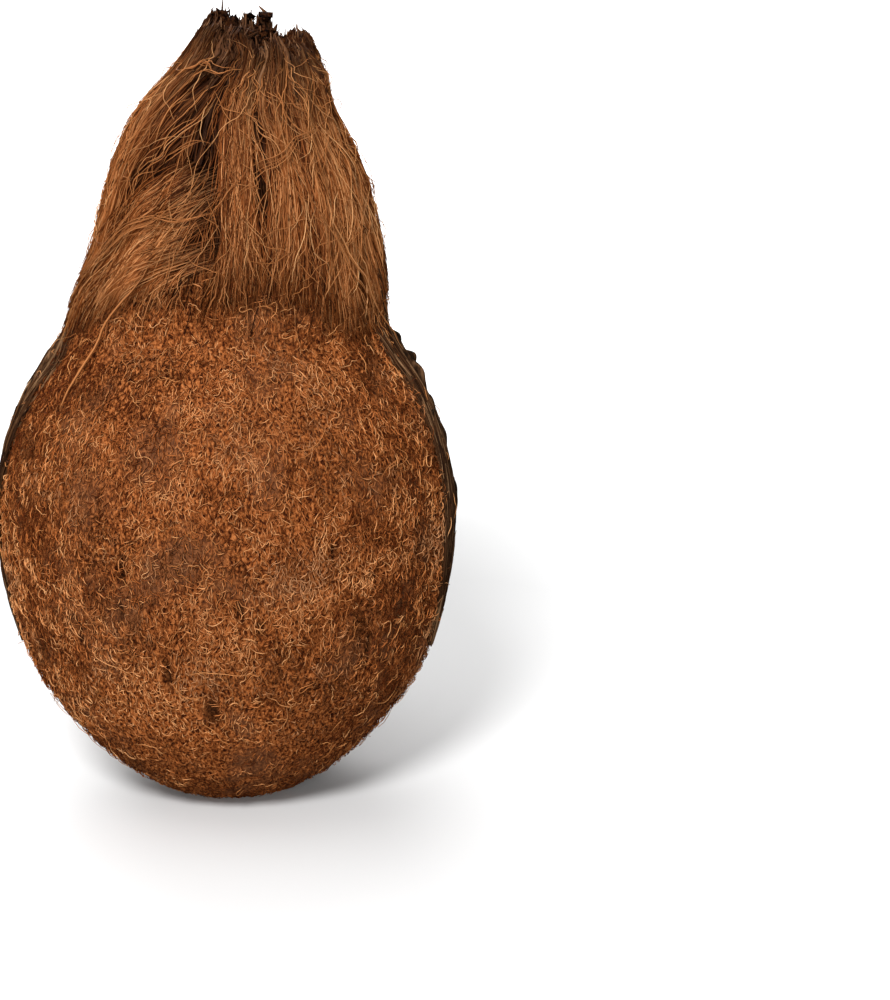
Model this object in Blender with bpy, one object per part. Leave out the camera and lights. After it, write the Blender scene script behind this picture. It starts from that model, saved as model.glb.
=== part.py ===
"""A brown coconut, stripped of its outer husk apart from a tuft of husk fibre left on the stem end.

The fruit grew as one piece, so it is one solid: an egg-shaped nut, a fibre tuft that closes over its upper end, three
seams of husk skin down its sides and a torn crown. It stands upright on a small flat foot. +Z is up, the origin is at
the centre of the foot, and -Y is the front. Lengths are in metres and angles are in radians.
"""

import math

import bmesh
import bpy
from mathutils import Vector, noise

# The nut: two half ellipsoids that meet at the equator, the lower one cut off flat at the foot.
NUT_RADIUS = 0.0551
FOOT_RADIUS = 0.0150
EQUATOR_HEIGHT = 0.0708
UPPER_RISE = 0.0650
LOBE_SWELL = 0.012
NUT_UNEVENNESS = 0.0007
UNEVENNESS_SIZE = 0.030

# The tuft: a dome of fibre from the hem, where it leaves the nut, up to the torn crown.
HEM_HEIGHT = 0.1160
HEM_RADIUS = 0.0358
HEM_THICKNESS = 0.0012
HEM_BLEND = 0.0040
HEM_RISE = 0.0110
HEM_WANDER = 0.0060
HEM_SCALLOPS = 4
CROWN_HEIGHT = 0.1895
CROWN_RADIUS = 0.0112
DOME_POWER = 2.2
TUFT_LEAN = 0.0035
TUFT_LEAN_HEIGHT = 0.1450
LOCK_DEPTH = 0.0032
LOCKS_AROUND = 17
LOCK_TWIST_SIZE = 0.050

# The crown: a broken rim, higher on the left, that is jagged all round and closes over a shallow hollow.
CROWN_LEAN = 0.0062
CROWN_LEAN_HEIGHT = 0.1680
CROWN_TILT = 0.0028
CROWN_HOLLOW = 0.0035
CROWN_TEAR = 0.0100
JAG_HEIGHT = 0.0080
JAGS_AROUND = 16

# The seams: raised strips of husk skin down the nut at its three lobes.
SEAM_ANGLES = (math.radians(90), math.radians(195), math.radians(345))
SEAM_HEIGHT = 0.0013
SEAM_HALF_WIDTH = 0.0085
SEAM_LOWEST = 0.0180
SEAM_HIGHEST = 0.1180
SEAM_FADE = 0.0150

# How finely the solid is faceted.
AROUND = 72
FOOT_RINGS = 2
LOWER_RINGS = 18
UPPER_RINGS = 11
TUFT_RINGS = 22
CROWN_RINGS = 3
WELD_DISTANCE = 1e-6

HUSK_COLOUR = (0.205, 0.074, 0.022, 1.0)
HUSK_ROUGHNESS = 0.85

LOWER_DROP = EQUATOR_HEIGHT / math.sqrt(1 - (FOOT_RADIUS / NUT_RADIUS) ** 2)


def clear_scene():
    """Removes every object that the session starts with."""
    for old in list(bpy.data.objects):
        bpy.data.objects.remove(old)


def eased(value, start, end):
    """0 up to start, 1 from end on, and an even curve between them."""
    share = min(1.0, max(0.0, (value - start) / (end - start)))
    return share * share * (3 - 2 * share)


def nut_radius(height):
    """Radius of the bare nut at a height above the foot, which is 0 above its upper end."""
    reach = LOWER_DROP if height < EQUATOR_HEIGHT else UPPER_RISE
    share = (height - EQUATOR_HEIGHT) / reach
    return NUT_RADIUS * math.sqrt(max(0.0, 1 - share * share))


def tuft_radius(height):
    """Radius of the tuft's smooth dome at a height from the hem to the crown."""
    share = min(1.0, max(0.0, (height - HEM_HEIGHT) / (CROWN_HEIGHT - HEM_HEIGHT)))
    return CROWN_RADIUS + (HEM_RADIUS - CROWN_RADIUS) * (1 - share**DOME_POWER)


def outline():
    """The fruit's half section as (radius, height) points, from the axis at the foot to the axis at the crown."""
    points = [(FOOT_RADIUS * i / FOOT_RINGS, 0.0) for i in range(FOOT_RINGS)]
    foot_angle = math.acos(FOOT_RADIUS / NUT_RADIUS)
    for i in range(LOWER_RINGS):
        angle = foot_angle * (1 - i / LOWER_RINGS)
        points.append((NUT_RADIUS * math.cos(angle), EQUATOR_HEIGHT - LOWER_DROP * math.sin(angle)))
    for i in range(UPPER_RINGS):
        height = EQUATOR_HEIGHT + (HEM_HEIGHT - EQUATOR_HEIGHT) * i / UPPER_RINGS
        points.append((nut_radius(height), height))
    for i in range(TUFT_RINGS + 1):
        height = HEM_HEIGHT + (CROWN_HEIGHT - HEM_HEIGHT) * i / TUFT_RINGS
        points.append((max(nut_radius(height), tuft_radius(height)), height))
    for i in range(1, CROWN_RINGS + 1):
        share = 1 - i / CROWN_RINGS
        points.append((CROWN_RADIUS * share, CROWN_HEIGHT - CROWN_HOLLOW * (1 - share * share)))
    return points


def spun(points):
    """A bmesh of the half section spun once round Z, closed at both ends."""
    mesh = bmesh.new()
    corners = [mesh.verts.new((radius, 0.0, height)) for radius, height in points]
    edges = [mesh.edges.new(pair) for pair in zip(corners, corners[1:])]
    bmesh.ops.spin(
        mesh,
        geom=corners + edges,
        cent=(0, 0, 0),
        axis=(0, 0, 1),
        angle=math.tau,
        steps=AROUND,
        use_merge=True,
    )
    bmesh.ops.remove_doubles(mesh, verts=mesh.verts, dist=WELD_DISTANCE)
    bmesh.ops.recalc_face_normals(mesh, faces=mesh.faces)
    return mesh


def turn_between(first, second):
    """The angle from one direction round the axis to another, at most half a turn either way."""
    return math.remainder(first - second, math.tau)


def lobes(angle):
    """Relative swelling of the nut's section, which has three faint lobes."""
    return LOBE_SWELL * math.cos(3 * (angle - math.pi / 2))


def seam_rise(angle, radius, height):
    """How far the nearest husk seam stands proud of the nut here."""
    away = min(abs(turn_between(angle, seam)) for seam in SEAM_ANGLES) * radius
    across = 1 - eased(away, SEAM_HALF_WIDTH * 0.5, SEAM_HALF_WIDTH)
    along = eased(height, SEAM_LOWEST, SEAM_LOWEST + SEAM_FADE)
    along *= 1 - eased(height, SEAM_HIGHEST - SEAM_FADE, SEAM_HIGHEST)
    return SEAM_HEIGHT * across * along


def round_noise(angle, count, along=0.0):
    """A smooth random value from -1 to 1 that rises and falls about count times round the axis."""
    reach = count / math.pi
    return noise.noise(Vector((math.cos(angle) * reach, math.sin(angle) * reach, along)))


def lock_relief(angle, height):
    """Relief of the tuft's locks of fibre: ridges that run from the crown down to the hem."""
    return LOCK_DEPTH * round_noise(angle, LOCKS_AROUND, height / LOCK_TWIST_SIZE)


def hem_height(angle):
    """Height of the tuft's ragged lower edge at an angle round the axis: it hangs lowest at the lobes."""
    between_lobes = 0.5 - 0.5 * math.cos(3 * (angle - math.pi / 2))
    return HEM_HEIGHT + HEM_RISE * between_lobes + HEM_WANDER * round_noise(angle, HEM_SCALLOPS)


def crown_rise(angle, radius):
    """How far the broken rim stands above its mean height here: its tilt and its jagged splinters."""
    rise = JAG_HEIGHT * round_noise(angle, JAGS_AROUND) - CROWN_TILT * math.cos(angle)
    return rise * eased(radius, 0.0, CROWN_RADIUS)


def shape_surface(mesh):
    """Moves the turned surface's points to the fruit's lobes, seams, locks, hem, lean and broken crown."""
    for vert in mesh.verts:
        radius = math.hypot(vert.co.x, vert.co.y)
        height = vert.co.z
        if height <= 0.0:
            continue
        angle = math.atan2(vert.co.y, vert.co.x)
        on_nut = eased(height, 0.0, EQUATOR_HEIGHT / 2) * (1 - eased(height, HEM_HEIGHT, CROWN_HEIGHT))
        hem = hem_height(angle)
        on_tuft = eased(height, hem - HEM_BLEND, hem + HEM_BLEND)
        out = radius * (1 + lobes(angle) * on_nut)
        out += NUT_UNEVENNESS * noise.noise(vert.co / UNEVENNESS_SIZE) * on_nut
        out += seam_rise(angle, radius, height)
        out += HEM_THICKNESS * on_tuft * (1 - eased(height, HEM_HEIGHT, CROWN_HEIGHT))
        out += lock_relief(angle, height) * on_tuft * eased(radius, 0.0, CROWN_RADIUS)
        lift = crown_rise(angle, radius) * eased(height, CROWN_HEIGHT - CROWN_TEAR, CROWN_HEIGHT - CROWN_HOLLOW)
        lean = TUFT_LEAN * eased(height, HEM_HEIGHT, TUFT_LEAN_HEIGHT)
        lean += CROWN_LEAN * eased(height, CROWN_LEAN_HEIGHT, CROWN_HEIGHT)
        vert.co = Vector((out * math.cos(angle) + lean, out * math.sin(angle), height + lift))


def husk_material():
    """The dull brown of dry husk fibre."""
    material = bpy.data.materials.new("husk")
    material.use_nodes = True
    shader = material.node_tree.nodes["Principled BSDF"]
    shader.inputs["Base Color"].default_value = HUSK_COLOUR
    shader.inputs["Roughness"].default_value = HUSK_ROUGHNESS
    shader.inputs["Metallic"].default_value = 0.0
    return material


def build_coconut():
    """Builds the one solid and returns its object."""
    surface = spun(outline())
    shape_surface(surface)
    mesh = bpy.data.meshes.new("coconut")
    surface.to_mesh(mesh)
    surface.free()
    mesh.shade_smooth()
    mesh.materials.append(husk_material())
    coconut = bpy.data.objects.new("coconut", mesh)
    bpy.context.scene.collection.objects.link(coconut)
    return coconut


clear_scene()
build_coconut()
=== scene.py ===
"""The look of a husked coconut: a matted nut, a tuft of long fibre, seams of husk skin and a torn crown.

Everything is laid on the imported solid, in metres, with +Z up, the front at -Y and +X to the right. A place
on the fruit is given by its azimuth, in degrees from +X towards +Y, so that 270 is the front, and by its
height above the foot.
"""

import logging
import math
from dataclasses import dataclass
from enum import Enum

import bmesh
import bpy
import numpy as np
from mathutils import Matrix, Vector, noise
from mathutils.bvhtree import BVHTree

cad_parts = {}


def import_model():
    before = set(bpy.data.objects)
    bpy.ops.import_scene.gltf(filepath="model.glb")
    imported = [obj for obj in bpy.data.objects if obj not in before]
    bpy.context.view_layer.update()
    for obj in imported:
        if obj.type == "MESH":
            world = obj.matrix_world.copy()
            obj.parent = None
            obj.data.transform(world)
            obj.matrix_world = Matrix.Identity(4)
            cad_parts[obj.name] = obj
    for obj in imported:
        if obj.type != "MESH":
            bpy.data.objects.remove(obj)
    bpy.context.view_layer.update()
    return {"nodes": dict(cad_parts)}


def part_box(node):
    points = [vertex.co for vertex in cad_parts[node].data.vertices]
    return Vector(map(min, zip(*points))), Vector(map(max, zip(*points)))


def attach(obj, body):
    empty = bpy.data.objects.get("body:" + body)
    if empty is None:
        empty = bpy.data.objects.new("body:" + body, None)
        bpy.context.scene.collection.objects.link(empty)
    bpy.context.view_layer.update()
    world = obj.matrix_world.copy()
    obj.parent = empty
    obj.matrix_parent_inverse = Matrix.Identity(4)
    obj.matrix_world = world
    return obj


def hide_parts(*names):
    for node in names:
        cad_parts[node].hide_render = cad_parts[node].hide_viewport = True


LOG = logging.getLogger("coconut")
MM = 0.001
NODE = "coconut"
BODY = "root"
STRAND_MAP = "OFBake"
SHADE = "shade"
STRAND_SHEEN = 0.05
MATTED_SHEEN = 0.04
Colour = tuple[float, float, float]


class Slot(Enum):
    """The material slots."""

    MAT = "husk_mat"
    TUFT = "tuft_fibre"
    SKIN = "husk_skin"


def eased(value: np.ndarray, start: float, end: float) -> np.ndarray:
    """A curve that is 0 up to start, 1 from end on and even between them.

    Args:
        value: Where to read the curve.
        start: The value up to which the curve is 0.
        end: The value from which the curve is 1.

    Returns:
        The curve's height at each value.
    """
    share = np.clip((np.asarray(value, float) - start) / (end - start), 0.0, 1.0)
    return share * share * (3 - 2 * share)


def turn_between(first: np.ndarray, second: np.ndarray) -> np.ndarray:
    """The turn in degrees from second to first, from -180 to 180."""
    return (np.asarray(first) - second + 180.0) % 360.0 - 180.0


def unit(vectors: np.ndarray) -> np.ndarray:
    """The vectors along the last axis, each made one long."""
    return vectors / np.maximum(np.linalg.norm(vectors, axis=-1, keepdims=True), 1e-12)


def rows(values: np.ndarray) -> np.ndarray:
    """The values as a column, so that each goes with one row of a table."""
    return np.asarray(values)[:, None]


def waves_along(share: np.ndarray, waves: float, phases: np.ndarray) -> np.ndarray:
    """This many sine waves along each strand, one row for each phase."""
    return np.sin(math.tau * waves * share + rows(phases))


def patches(points: np.ndarray, size: float, seed: float) -> np.ndarray:
    """Smooth random patches over the fruit.

    Args:
        points: Places in metres, one row each.
        size: How wide a patch is, in metres.
        seed: Picks one pattern of patches.

    Returns:
        A value from about -0.5 to 0.5 for each place.
    """
    shift = Vector((seed * 3.7, seed * 1.3, seed * 2.1))
    return np.array([noise.noise(Vector(point) / size + shift) for point in points])


def points_of(mesh: bpy.types.Mesh) -> np.ndarray:
    """The mesh's points, one row each."""
    flat = np.zeros(len(mesh.vertices) * 3)
    mesh.vertices.foreach_get("co", flat)
    return flat.reshape(-1, 3)


def shade_points(mesh: bpy.types.Mesh, shade: np.ndarray) -> None:
    """Stores how bright the mesh is at each point, for the matted finishes to read; it holds painted light
    and shade.
    """
    tint = mesh.color_attributes.new(SHADE, "FLOAT_COLOR", "POINT")
    colours = np.stack((shade, shade, shade, np.ones_like(shade)), axis=-1)
    tint.data.foreach_set("color", colours.ravel())


# ----------------------------------------------------------------------------------------------------
# Finishes
# ----------------------------------------------------------------------------------------------------


def add_node(tree: bpy.types.NodeTree, kind: str, **settings: object) -> bpy.types.Node:
    """Adds a node with these settings and returns it."""
    node = tree.nodes.new(kind)
    for name, value in settings.items():
        setattr(node, name, value)
    return node


def fill(node: bpy.types.Node, **values: object) -> bpy.types.Node:
    """Sets a node's unlinked inputs by name, with _ for a space, and returns the node."""
    for name, value in values.items():
        node.inputs[name.replace("_", " ")].default_value = value
    return node


def span(
    tree: bpy.types.NodeTree, value: bpy.types.NodeSocket, start: float, end: float, low: float, high: float
) -> bpy.types.NodeSocket:
    """Maps start..end of a value to low..high, held at both ends.

    Args:
        tree: The tree to add the node to.
        value: The value to map.
        start: The value that gives low.
        end: The value that gives high.
        low: The result at start.
        high: The result at end.

    Returns:
        The mapped value's socket.
    """
    node = add_node(tree, "ShaderNodeMapRange", clamp=True)
    tree.links.new(value, node.inputs["Value"])
    for name, number in (("From Min", start), ("From Max", end), ("To Min", low), ("To Max", high)):
        node.inputs[name].default_value = number
    return node.outputs["Result"]


def mixed(
    tree: bpy.types.NodeTree,
    blend: str,
    factor: bpy.types.NodeSocket | float,
    first: bpy.types.NodeSocket | tuple,
    second: bpy.types.NodeSocket | tuple,
) -> bpy.types.NodeSocket:
    """Mixes two colours.

    Args:
        tree: The tree to add the node to.
        blend: The way to mix, such as MIX or MULTIPLY.
        factor: How much of the second colour to use.
        first: The first colour.
        second: The second colour.

    Returns:
        The mixed colour's socket.
    """
    node = add_node(tree, "ShaderNodeMix", data_type="RGBA", blend_type=blend)
    for socket, value in ((node.inputs[0], factor), (node.inputs[6], first), (node.inputs[7], second)):
        if isinstance(value, bpy.types.NodeSocket):
            tree.links.new(value, socket)
        else:
            socket.default_value = value
    return node.outputs[2]


def new_group(name: str, inputs: dict[str, str], outputs: dict[str, str]) -> bpy.types.NodeTree:
    """Makes an empty shader node group.

    Args:
        name: The group's name.
        inputs: The kind of each input socket, by name.
        outputs: The kind of each output socket, by name.

    Returns:
        The group, which holds its input and output nodes.
    """
    group = bpy.data.node_groups.new(name, "ShaderNodeTree")
    for way, sockets in (("INPUT", inputs), ("OUTPUT", outputs)):
        for label, kind in sockets.items():
            group.interface.new_socket(name=label, in_out=way, socket_type="NodeSocket" + kind)
    add_node(group, "NodeGroupInput")
    add_node(group, "NodeGroupOutput")
    return group


def new_material(
    name: str, **values: object
) -> tuple[bpy.types.Material, bpy.types.NodeTree, bpy.types.Node]:
    """Makes a material, and returns it with its tree and its shader, whose inputs have these values."""
    material = bpy.data.materials.new(name)
    material.use_nodes = True
    tree = material.node_tree
    return material, tree, fill(tree.nodes["Principled BSDF"], **values)


def ends_of(group: bpy.types.NodeTree) -> tuple[bpy.types.Node, bpy.types.Node]:
    """The group's own input and output nodes."""
    return group.nodes["Group Input"], group.nodes["Group Output"]


def strand_group() -> bpy.types.NodeTree:
    """The colouring of a strand: from dark to light by its tone, with painted shade towards its root."""
    name = "strand_colouring"
    if name in bpy.data.node_groups:
        return bpy.data.node_groups[name]
    inputs = {
        "Place": "Vector",
        "Dark": "Color",
        "Middle": "Color",
        "Light": "Color",
        "Root Shade": "Float",
        "Root Reach": "Float",
    }
    group = new_group(name, inputs, {"Color": "Color"})
    start, end = ends_of(group)
    place = add_node(group, "ShaderNodeSeparateXYZ")
    group.links.new(start.outputs["Place"], place.inputs[0])
    tone, along = place.outputs["X"], place.outputs["Y"]
    dark, middle, light = (start.outputs[label] for label in ("Dark", "Middle", "Light"))
    lower = mixed(group, "MIX", span(group, tone, 0.0, 0.5, 0, 1), dark, middle)
    colour = mixed(group, "MIX", span(group, tone, 0.5, 1.0, 0, 1), lower, light)
    # Painted shade towards the root: the colour is multiplied by the root shade there, easing to none at the
    # root reach.
    reach = add_node(group, "ShaderNodeMath", operation="DIVIDE", use_clamp=True)
    group.links.new(along, reach.inputs[0])
    group.links.new(start.outputs["Root Reach"], reach.inputs[1])
    shade = add_node(group, "ShaderNodeMapRange", clamp=True)
    group.links.new(reach.outputs[0], shade.inputs["Value"])
    group.links.new(start.outputs["Root Shade"], shade.inputs["To Min"])
    group.links.new(mixed(group, "MULTIPLY", 1.0, colour, shade.outputs[0]), end.inputs["Color"])
    return group


def mottle_group() -> bpy.types.NodeTree:
    """Matted fibre seen as one surface: its colour by patch and by grain, and its relief from the same
    grain, with painted shade in the grain's low spots.
    """
    name = "husk_mottle"
    if name in bpy.data.node_groups:
        return bpy.data.node_groups[name]
    inputs = {
        "Place": "Vector",
        "Dark": "Color",
        "Middle": "Color",
        "Light": "Color",
        "Dull": "Color",
        "Grain": "Float",
        "Patch": "Float",
    }
    group = new_group(name, inputs, {"Color": "Color", "Height": "Float"})
    start, end = ends_of(group)

    def noise_at(scale: bpy.types.NodeSocket, detail: float, rough: float) -> bpy.types.NodeSocket:
        """A noise pattern over the surface at this scale."""
        node = fill(add_node(group, "ShaderNodeTexNoise"), Detail=detail, Roughness=rough)
        group.links.new(start.outputs["Place"], node.inputs["Vector"])
        group.links.new(scale, node.inputs["Scale"])
        return node.outputs["Fac"]

    grain = noise_at(start.outputs["Grain"], 3.0, 0.6)
    patch = noise_at(start.outputs["Patch"], 2.0, 0.5)
    dark, middle, light = (start.outputs[label] for label in ("Dark", "Middle", "Light"))
    # The grain's low spots, the dents of the relief, take the dark colour: painted shade.
    lower = mixed(group, "MIX", span(group, grain, 0.38, 0.50, 0, 1), dark, middle)
    colour = mixed(group, "MIX", span(group, grain, 0.50, 0.66, 0, 1), lower, light)
    dulled = mixed(group, "MIX", span(group, patch, 0.5, 0.68, 0, 0.7), colour, start.outputs["Dull"])
    group.links.new(dulled, end.inputs["Color"])
    group.links.new(grain, end.inputs["Height"])
    return group


@dataclass(frozen=True)
class StrandFinish:
    """Dry husk fibre, from dark to light by the strand's tone, with painted shade towards its root."""

    name: str
    dark: Colour
    middle: Colour
    light: Colour
    root_shade: float = 0.5
    root_reach: float = 0.35
    roughness: float = 0.55

    def material(self) -> bpy.types.Material:
        """Makes the material, which reads the strand's tone and the place along it from its map."""
        values = {"Roughness": self.roughness, "Specular_IOR_Level": STRAND_SHEEN}
        material, tree, shader = new_material(self.name, **values)
        place = add_node(tree, "ShaderNodeUVMap", uv_map=STRAND_MAP)
        colouring = add_node(tree, "ShaderNodeGroup", node_tree=strand_group())
        for label, colour in (("Dark", self.dark), ("Middle", self.middle), ("Light", self.light)):
            colouring.inputs[label].default_value = (*colour, 1.0)
        fill(colouring, Root_Shade=self.root_shade, Root_Reach=self.root_reach)
        tree.links.new(place.outputs["UV"], colouring.inputs["Place"])
        tree.links.new(colouring.outputs["Color"], shader.inputs["Base Color"])
        return material


@dataclass(frozen=True)
class MattedFinish:
    """A matted or barky surface, mottled by grain and by patch, and multiplied by the piece's stored
    brightness, which holds painted light and shade.
    """

    name: str
    dark: Colour
    middle: Colour
    light: Colour
    dull: Colour
    grain: float
    patch: float
    stretch: float = 1.0
    relief: float = 0.5 * MM
    roughness: float = 0.8

    def material(self) -> bpy.types.Material:
        """Makes the material, whose pattern is drawn out upwards by the stretch."""
        values = {"Roughness": self.roughness, "Specular_IOR_Level": MATTED_SHEEN}
        material, tree, shader = new_material(self.name, **values)
        place = add_node(tree, "ShaderNodeTexCoord")
        drawn = add_node(tree, "ShaderNodeMapping")
        drawn.inputs["Scale"].default_value = (1.0, 1.0, 1.0 / self.stretch)
        tree.links.new(place.outputs["Object"], drawn.inputs["Vector"])
        mottle = add_node(tree, "ShaderNodeGroup", node_tree=mottle_group())
        colours = (("Dark", self.dark), ("Middle", self.middle), ("Light", self.light), ("Dull", self.dull))
        for label, colour in colours:
            mottle.inputs[label].default_value = (*colour, 1.0)
        fill(mottle, Grain=self.grain, Patch=self.patch)
        tree.links.new(drawn.outputs["Vector"], mottle.inputs["Place"])
        # The piece's stored brightness, which holds painted light and shade, multiplies the colour.
        shade = add_node(tree, "ShaderNodeAttribute", attribute_name=SHADE)
        shaded = mixed(tree, "MULTIPLY", 1.0, mottle.outputs["Color"], shade.outputs["Color"])
        tree.links.new(shaded, shader.inputs["Base Color"])
        bump = fill(add_node(tree, "ShaderNodeBump"), Strength=0.8, Distance=self.relief)
        tree.links.new(mottle.outputs["Height"], bump.inputs["Height"])
        tree.links.new(bump.outputs["Normal"], shader.inputs["Normal"])
        return material


NUT_GROUND = MattedFinish(
    "nut_ground",
    dark=(0.022, 0.004, 0.001),
    middle=(0.16, 0.042, 0.009),
    light=(0.38, 0.13, 0.038),
    dull=(0.11, 0.042, 0.018),
    grain=1500.0,
    patch=75.0,
    stretch=1.5,
    relief=0.7 * MM,
)
SEAM_BARK = MattedFinish(
    "seam_bark",
    dark=(0.008, 0.004, 0.002),
    middle=(0.045, 0.020, 0.008),
    light=(0.15, 0.075, 0.036),
    dull=(0.035, 0.018, 0.010),
    grain=700.0,
    patch=120.0,
    stretch=9.0,
    relief=0.8 * MM,
)
RUSSET_FIBRE = StrandFinish(
    "russet_fibre",
    dark=(0.070, 0.013, 0.002),
    middle=(0.40, 0.120, 0.030),
    light=(0.68, 0.31, 0.120),
    root_shade=0.35,
)
UMBER_FIBRE = StrandFinish(
    "umber_fibre",
    dark=(0.060, 0.015, 0.003),
    middle=(0.25, 0.083, 0.026),
    light=(0.50, 0.23, 0.098),
    root_shade=0.35,
)
NUT_HAIR = StrandFinish(
    "nut_hair",
    dark=(0.30, 0.094, 0.024),
    middle=(0.51, 0.205, 0.066),
    light=(0.72, 0.37, 0.16),
    root_shade=0.55,
)
# Painted shade: the tuft's under layer is coloured near black to stand for the shade beneath the strands.
TUFT_DEEP_SHADE = StrandFinish(
    "tuft_deep_shade",
    dark=(0.014, 0.004, 0.001),
    middle=(0.050, 0.014, 0.003),
    light=(0.14, 0.045, 0.012),
    root_shade=0.35,
)
TUFT_FIBRE = StrandFinish(
    "tuft_fibre",
    dark=(0.070, 0.016, 0.003),
    middle=(0.25, 0.074, 0.018),
    light=(0.53, 0.235, 0.088),
    root_shade=0.14,
    root_reach=0.5,
)
TUFT_HAIR = StrandFinish(
    "tuft_hair",
    dark=(0.22, 0.072, 0.020),
    middle=(0.40, 0.155, 0.050),
    light=(0.64, 0.34, 0.145),
    root_shade=0.55,
)
SKIN_FIBRE = StrandFinish(
    "skin_fibre",
    dark=(0.014, 0.005, 0.002),
    middle=(0.068, 0.028, 0.011),
    light=(0.28, 0.155, 0.075),
    root_shade=0.6,
)
CROWN_WOOD = StrandFinish(
    "crown_wood",
    dark=(0.022, 0.008, 0.003),
    middle=(0.085, 0.033, 0.013),
    light=(0.22, 0.11, 0.052),
    root_shade=0.8,
)


# ----------------------------------------------------------------------------------------------------
# The fruit's surface, and strands laid on it
# ----------------------------------------------------------------------------------------------------


class HuskSurface:
    """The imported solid's outer surface, which can be read by azimuth round its axis and by height."""

    TURN_STEPS = 240
    LEVELS = 196
    LOWEST = 2 * MM
    HEM = 124 * MM
    HEM_RISE = 11 * MM
    HEM_WANDER = 4 * MM
    OUTSIDE = 0.1
    NECK = 138 * MM
    NECK_SINK = 1.7 * MM
    HOLLOWS = ((237.0, 183 * MM), (244.0, 173 * MM), (250.0, 161 * MM))
    HOLLOW_REACH = (10.0, 8 * MM)
    HOLLOW_DEPTH = 2.4 * MM
    AXIS_BAND = 6 * MM
    CROWN_FROM = 184 * MM
    RIM_FROM = 7 * MM

    def __init__(self, solid: bpy.types.Object) -> None:
        """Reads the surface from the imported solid.

        Args:
            solid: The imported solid, which is left as it is.
        """
        shape = bmesh.new()
        shape.from_mesh(solid.data)
        bmesh.ops.remove_doubles(shape, verts=shape.verts, dist=0.01 * MM)
        bmesh.ops.triangulate(shape, faces=shape.faces)
        self.tree = BVHTree.FromBMesh(shape)
        self.corners = np.array([[corner.co[:] for corner in face.verts] for face in shape.faces])
        points = np.array([vert.co[:] for vert in shape.verts])
        shape.free()
        self.top = float(points[:, 2].max())
        self.heights = np.linspace(self.LOWEST, self.top - 0.5 * MM, self.LEVELS)
        self.axis = self._find_axis(points)
        self.radii = self._find_radii()
        self.rims = self._find_rims(points)
        self.normals = self._find_normals()

    def _find_axis(self, points: np.ndarray) -> np.ndarray:
        """The middle of the surface at each level, from its widest extents."""
        middles = []
        for height in self.heights:
            near = points[np.abs(points[:, 2] - height) < self.AXIS_BAND]
            middles.append((near[:, :2].min(0) + near[:, :2].max(0)) / 2)
        return np.array(middles)

    def _find_radii(self) -> np.ndarray:
        """How far the surface is from the axis, level by level and all the way round, seen from outside."""
        turns = np.radians(np.arange(self.TURN_STEPS) * 360.0 / self.TURN_STEPS)
        rays = [Vector((math.cos(turn), math.sin(turn), 0.0)) for turn in turns]
        radii = np.zeros((self.LEVELS, self.TURN_STEPS))
        for level, (height, middle) in enumerate(zip(self.heights, self.axis)):
            centre = Vector((*middle, height))
            for step, ray in enumerate(rays):
                below = radii[level - 1, step] if level else 0.0
                gap = self.tree.ray_cast(centre + ray * self.OUTSIDE, -ray)[3]
                lost = gap is None or self.OUTSIDE - gap < below - 3 * MM
                radii[level, step] = below * 0.97 if lost else self.OUTSIDE - gap
        return radii

    def _find_rims(self, points: np.ndarray) -> np.ndarray:
        """Height of the torn crown's rim all the way round."""
        crown = points[points[:, 2] > self.CROWN_FROM]
        centre = (crown[:, :2].min(0) + crown[:, :2].max(0)) / 2
        away = crown[:, :2] - centre
        outer = crown[np.hypot(away[:, 0], away[:, 1]) > self.RIM_FROM]
        turn = np.degrees(np.arctan2(outer[:, 1] - centre[1], outer[:, 0] - centre[0]))
        rims = np.zeros(self.TURN_STEPS)
        for step in range(self.TURN_STEPS):
            near = np.abs(turn_between(turn, step * 360.0 / self.TURN_STEPS)) < 4.0
            rims[step] = outer[near, 2].max() if near.any() else rims[step - 1]
        return (np.roll(rims, -1) + 2 * rims + np.roll(rims, 1)) / 4

    def _find_normals(self) -> np.ndarray:
        """The outward direction at each level and azimuth."""
        turns = np.radians(np.arange(self.TURN_STEPS) * 360.0 / self.TURN_STEPS)
        x = self.axis[:, :1] + self.radii * np.cos(turns)
        y = self.axis[:, 1:] + self.radii * np.sin(turns)
        z = np.repeat(rows(self.heights), self.TURN_STEPS, axis=1)
        points = np.stack((x, y, z), axis=-1)
        round_it = np.roll(points, -1, axis=1) - np.roll(points, 1, axis=1)
        up_it = np.gradient(points, axis=0)
        return unit(np.cross(round_it, up_it))

    def _read(self, table: np.ndarray, azimuth: np.ndarray, height: np.ndarray) -> np.ndarray:
        """Reads a table of levels and azimuths between its entries."""
        gap = self.heights[1] - self.heights[0]
        level = np.clip((height - self.heights[0]) / gap, 0, self.LEVELS - 1.001)
        step = (azimuth % 360.0) * self.TURN_STEPS / 360.0
        low, left = level.astype(int), step.astype(int) % self.TURN_STEPS
        up, right = level - low, step - step.astype(int)
        after = (left + 1) % self.TURN_STEPS
        if table.ndim == 3:
            up, right = up[..., None], right[..., None]
        lower = table[low, left] * (1 - right) + table[low, after] * right
        upper = table[low + 1, left] * (1 - right) + table[low + 1, after] * right
        return lower * (1 - up) + upper * up

    def radius(self, azimuth: np.ndarray, height: np.ndarray) -> np.ndarray:
        """How far the surface is from the axis at each place."""
        return self._read(self.radii, np.asarray(azimuth, float), np.asarray(height, float))

    def outward(self, azimuth: np.ndarray, height: np.ndarray) -> np.ndarray:
        """The outward direction of the surface at each place."""
        return unit(self._read(self.normals, np.asarray(azimuth, float), np.asarray(height, float)))

    def rim(self, azimuth: np.ndarray) -> np.ndarray:
        """Height of the torn crown's rim at each azimuth."""
        step = (np.asarray(azimuth, float) % 360.0) * self.TURN_STEPS / 360.0
        return np.interp(step, np.arange(self.TURN_STEPS + 1), np.append(self.rims, self.rims[0]))

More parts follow.
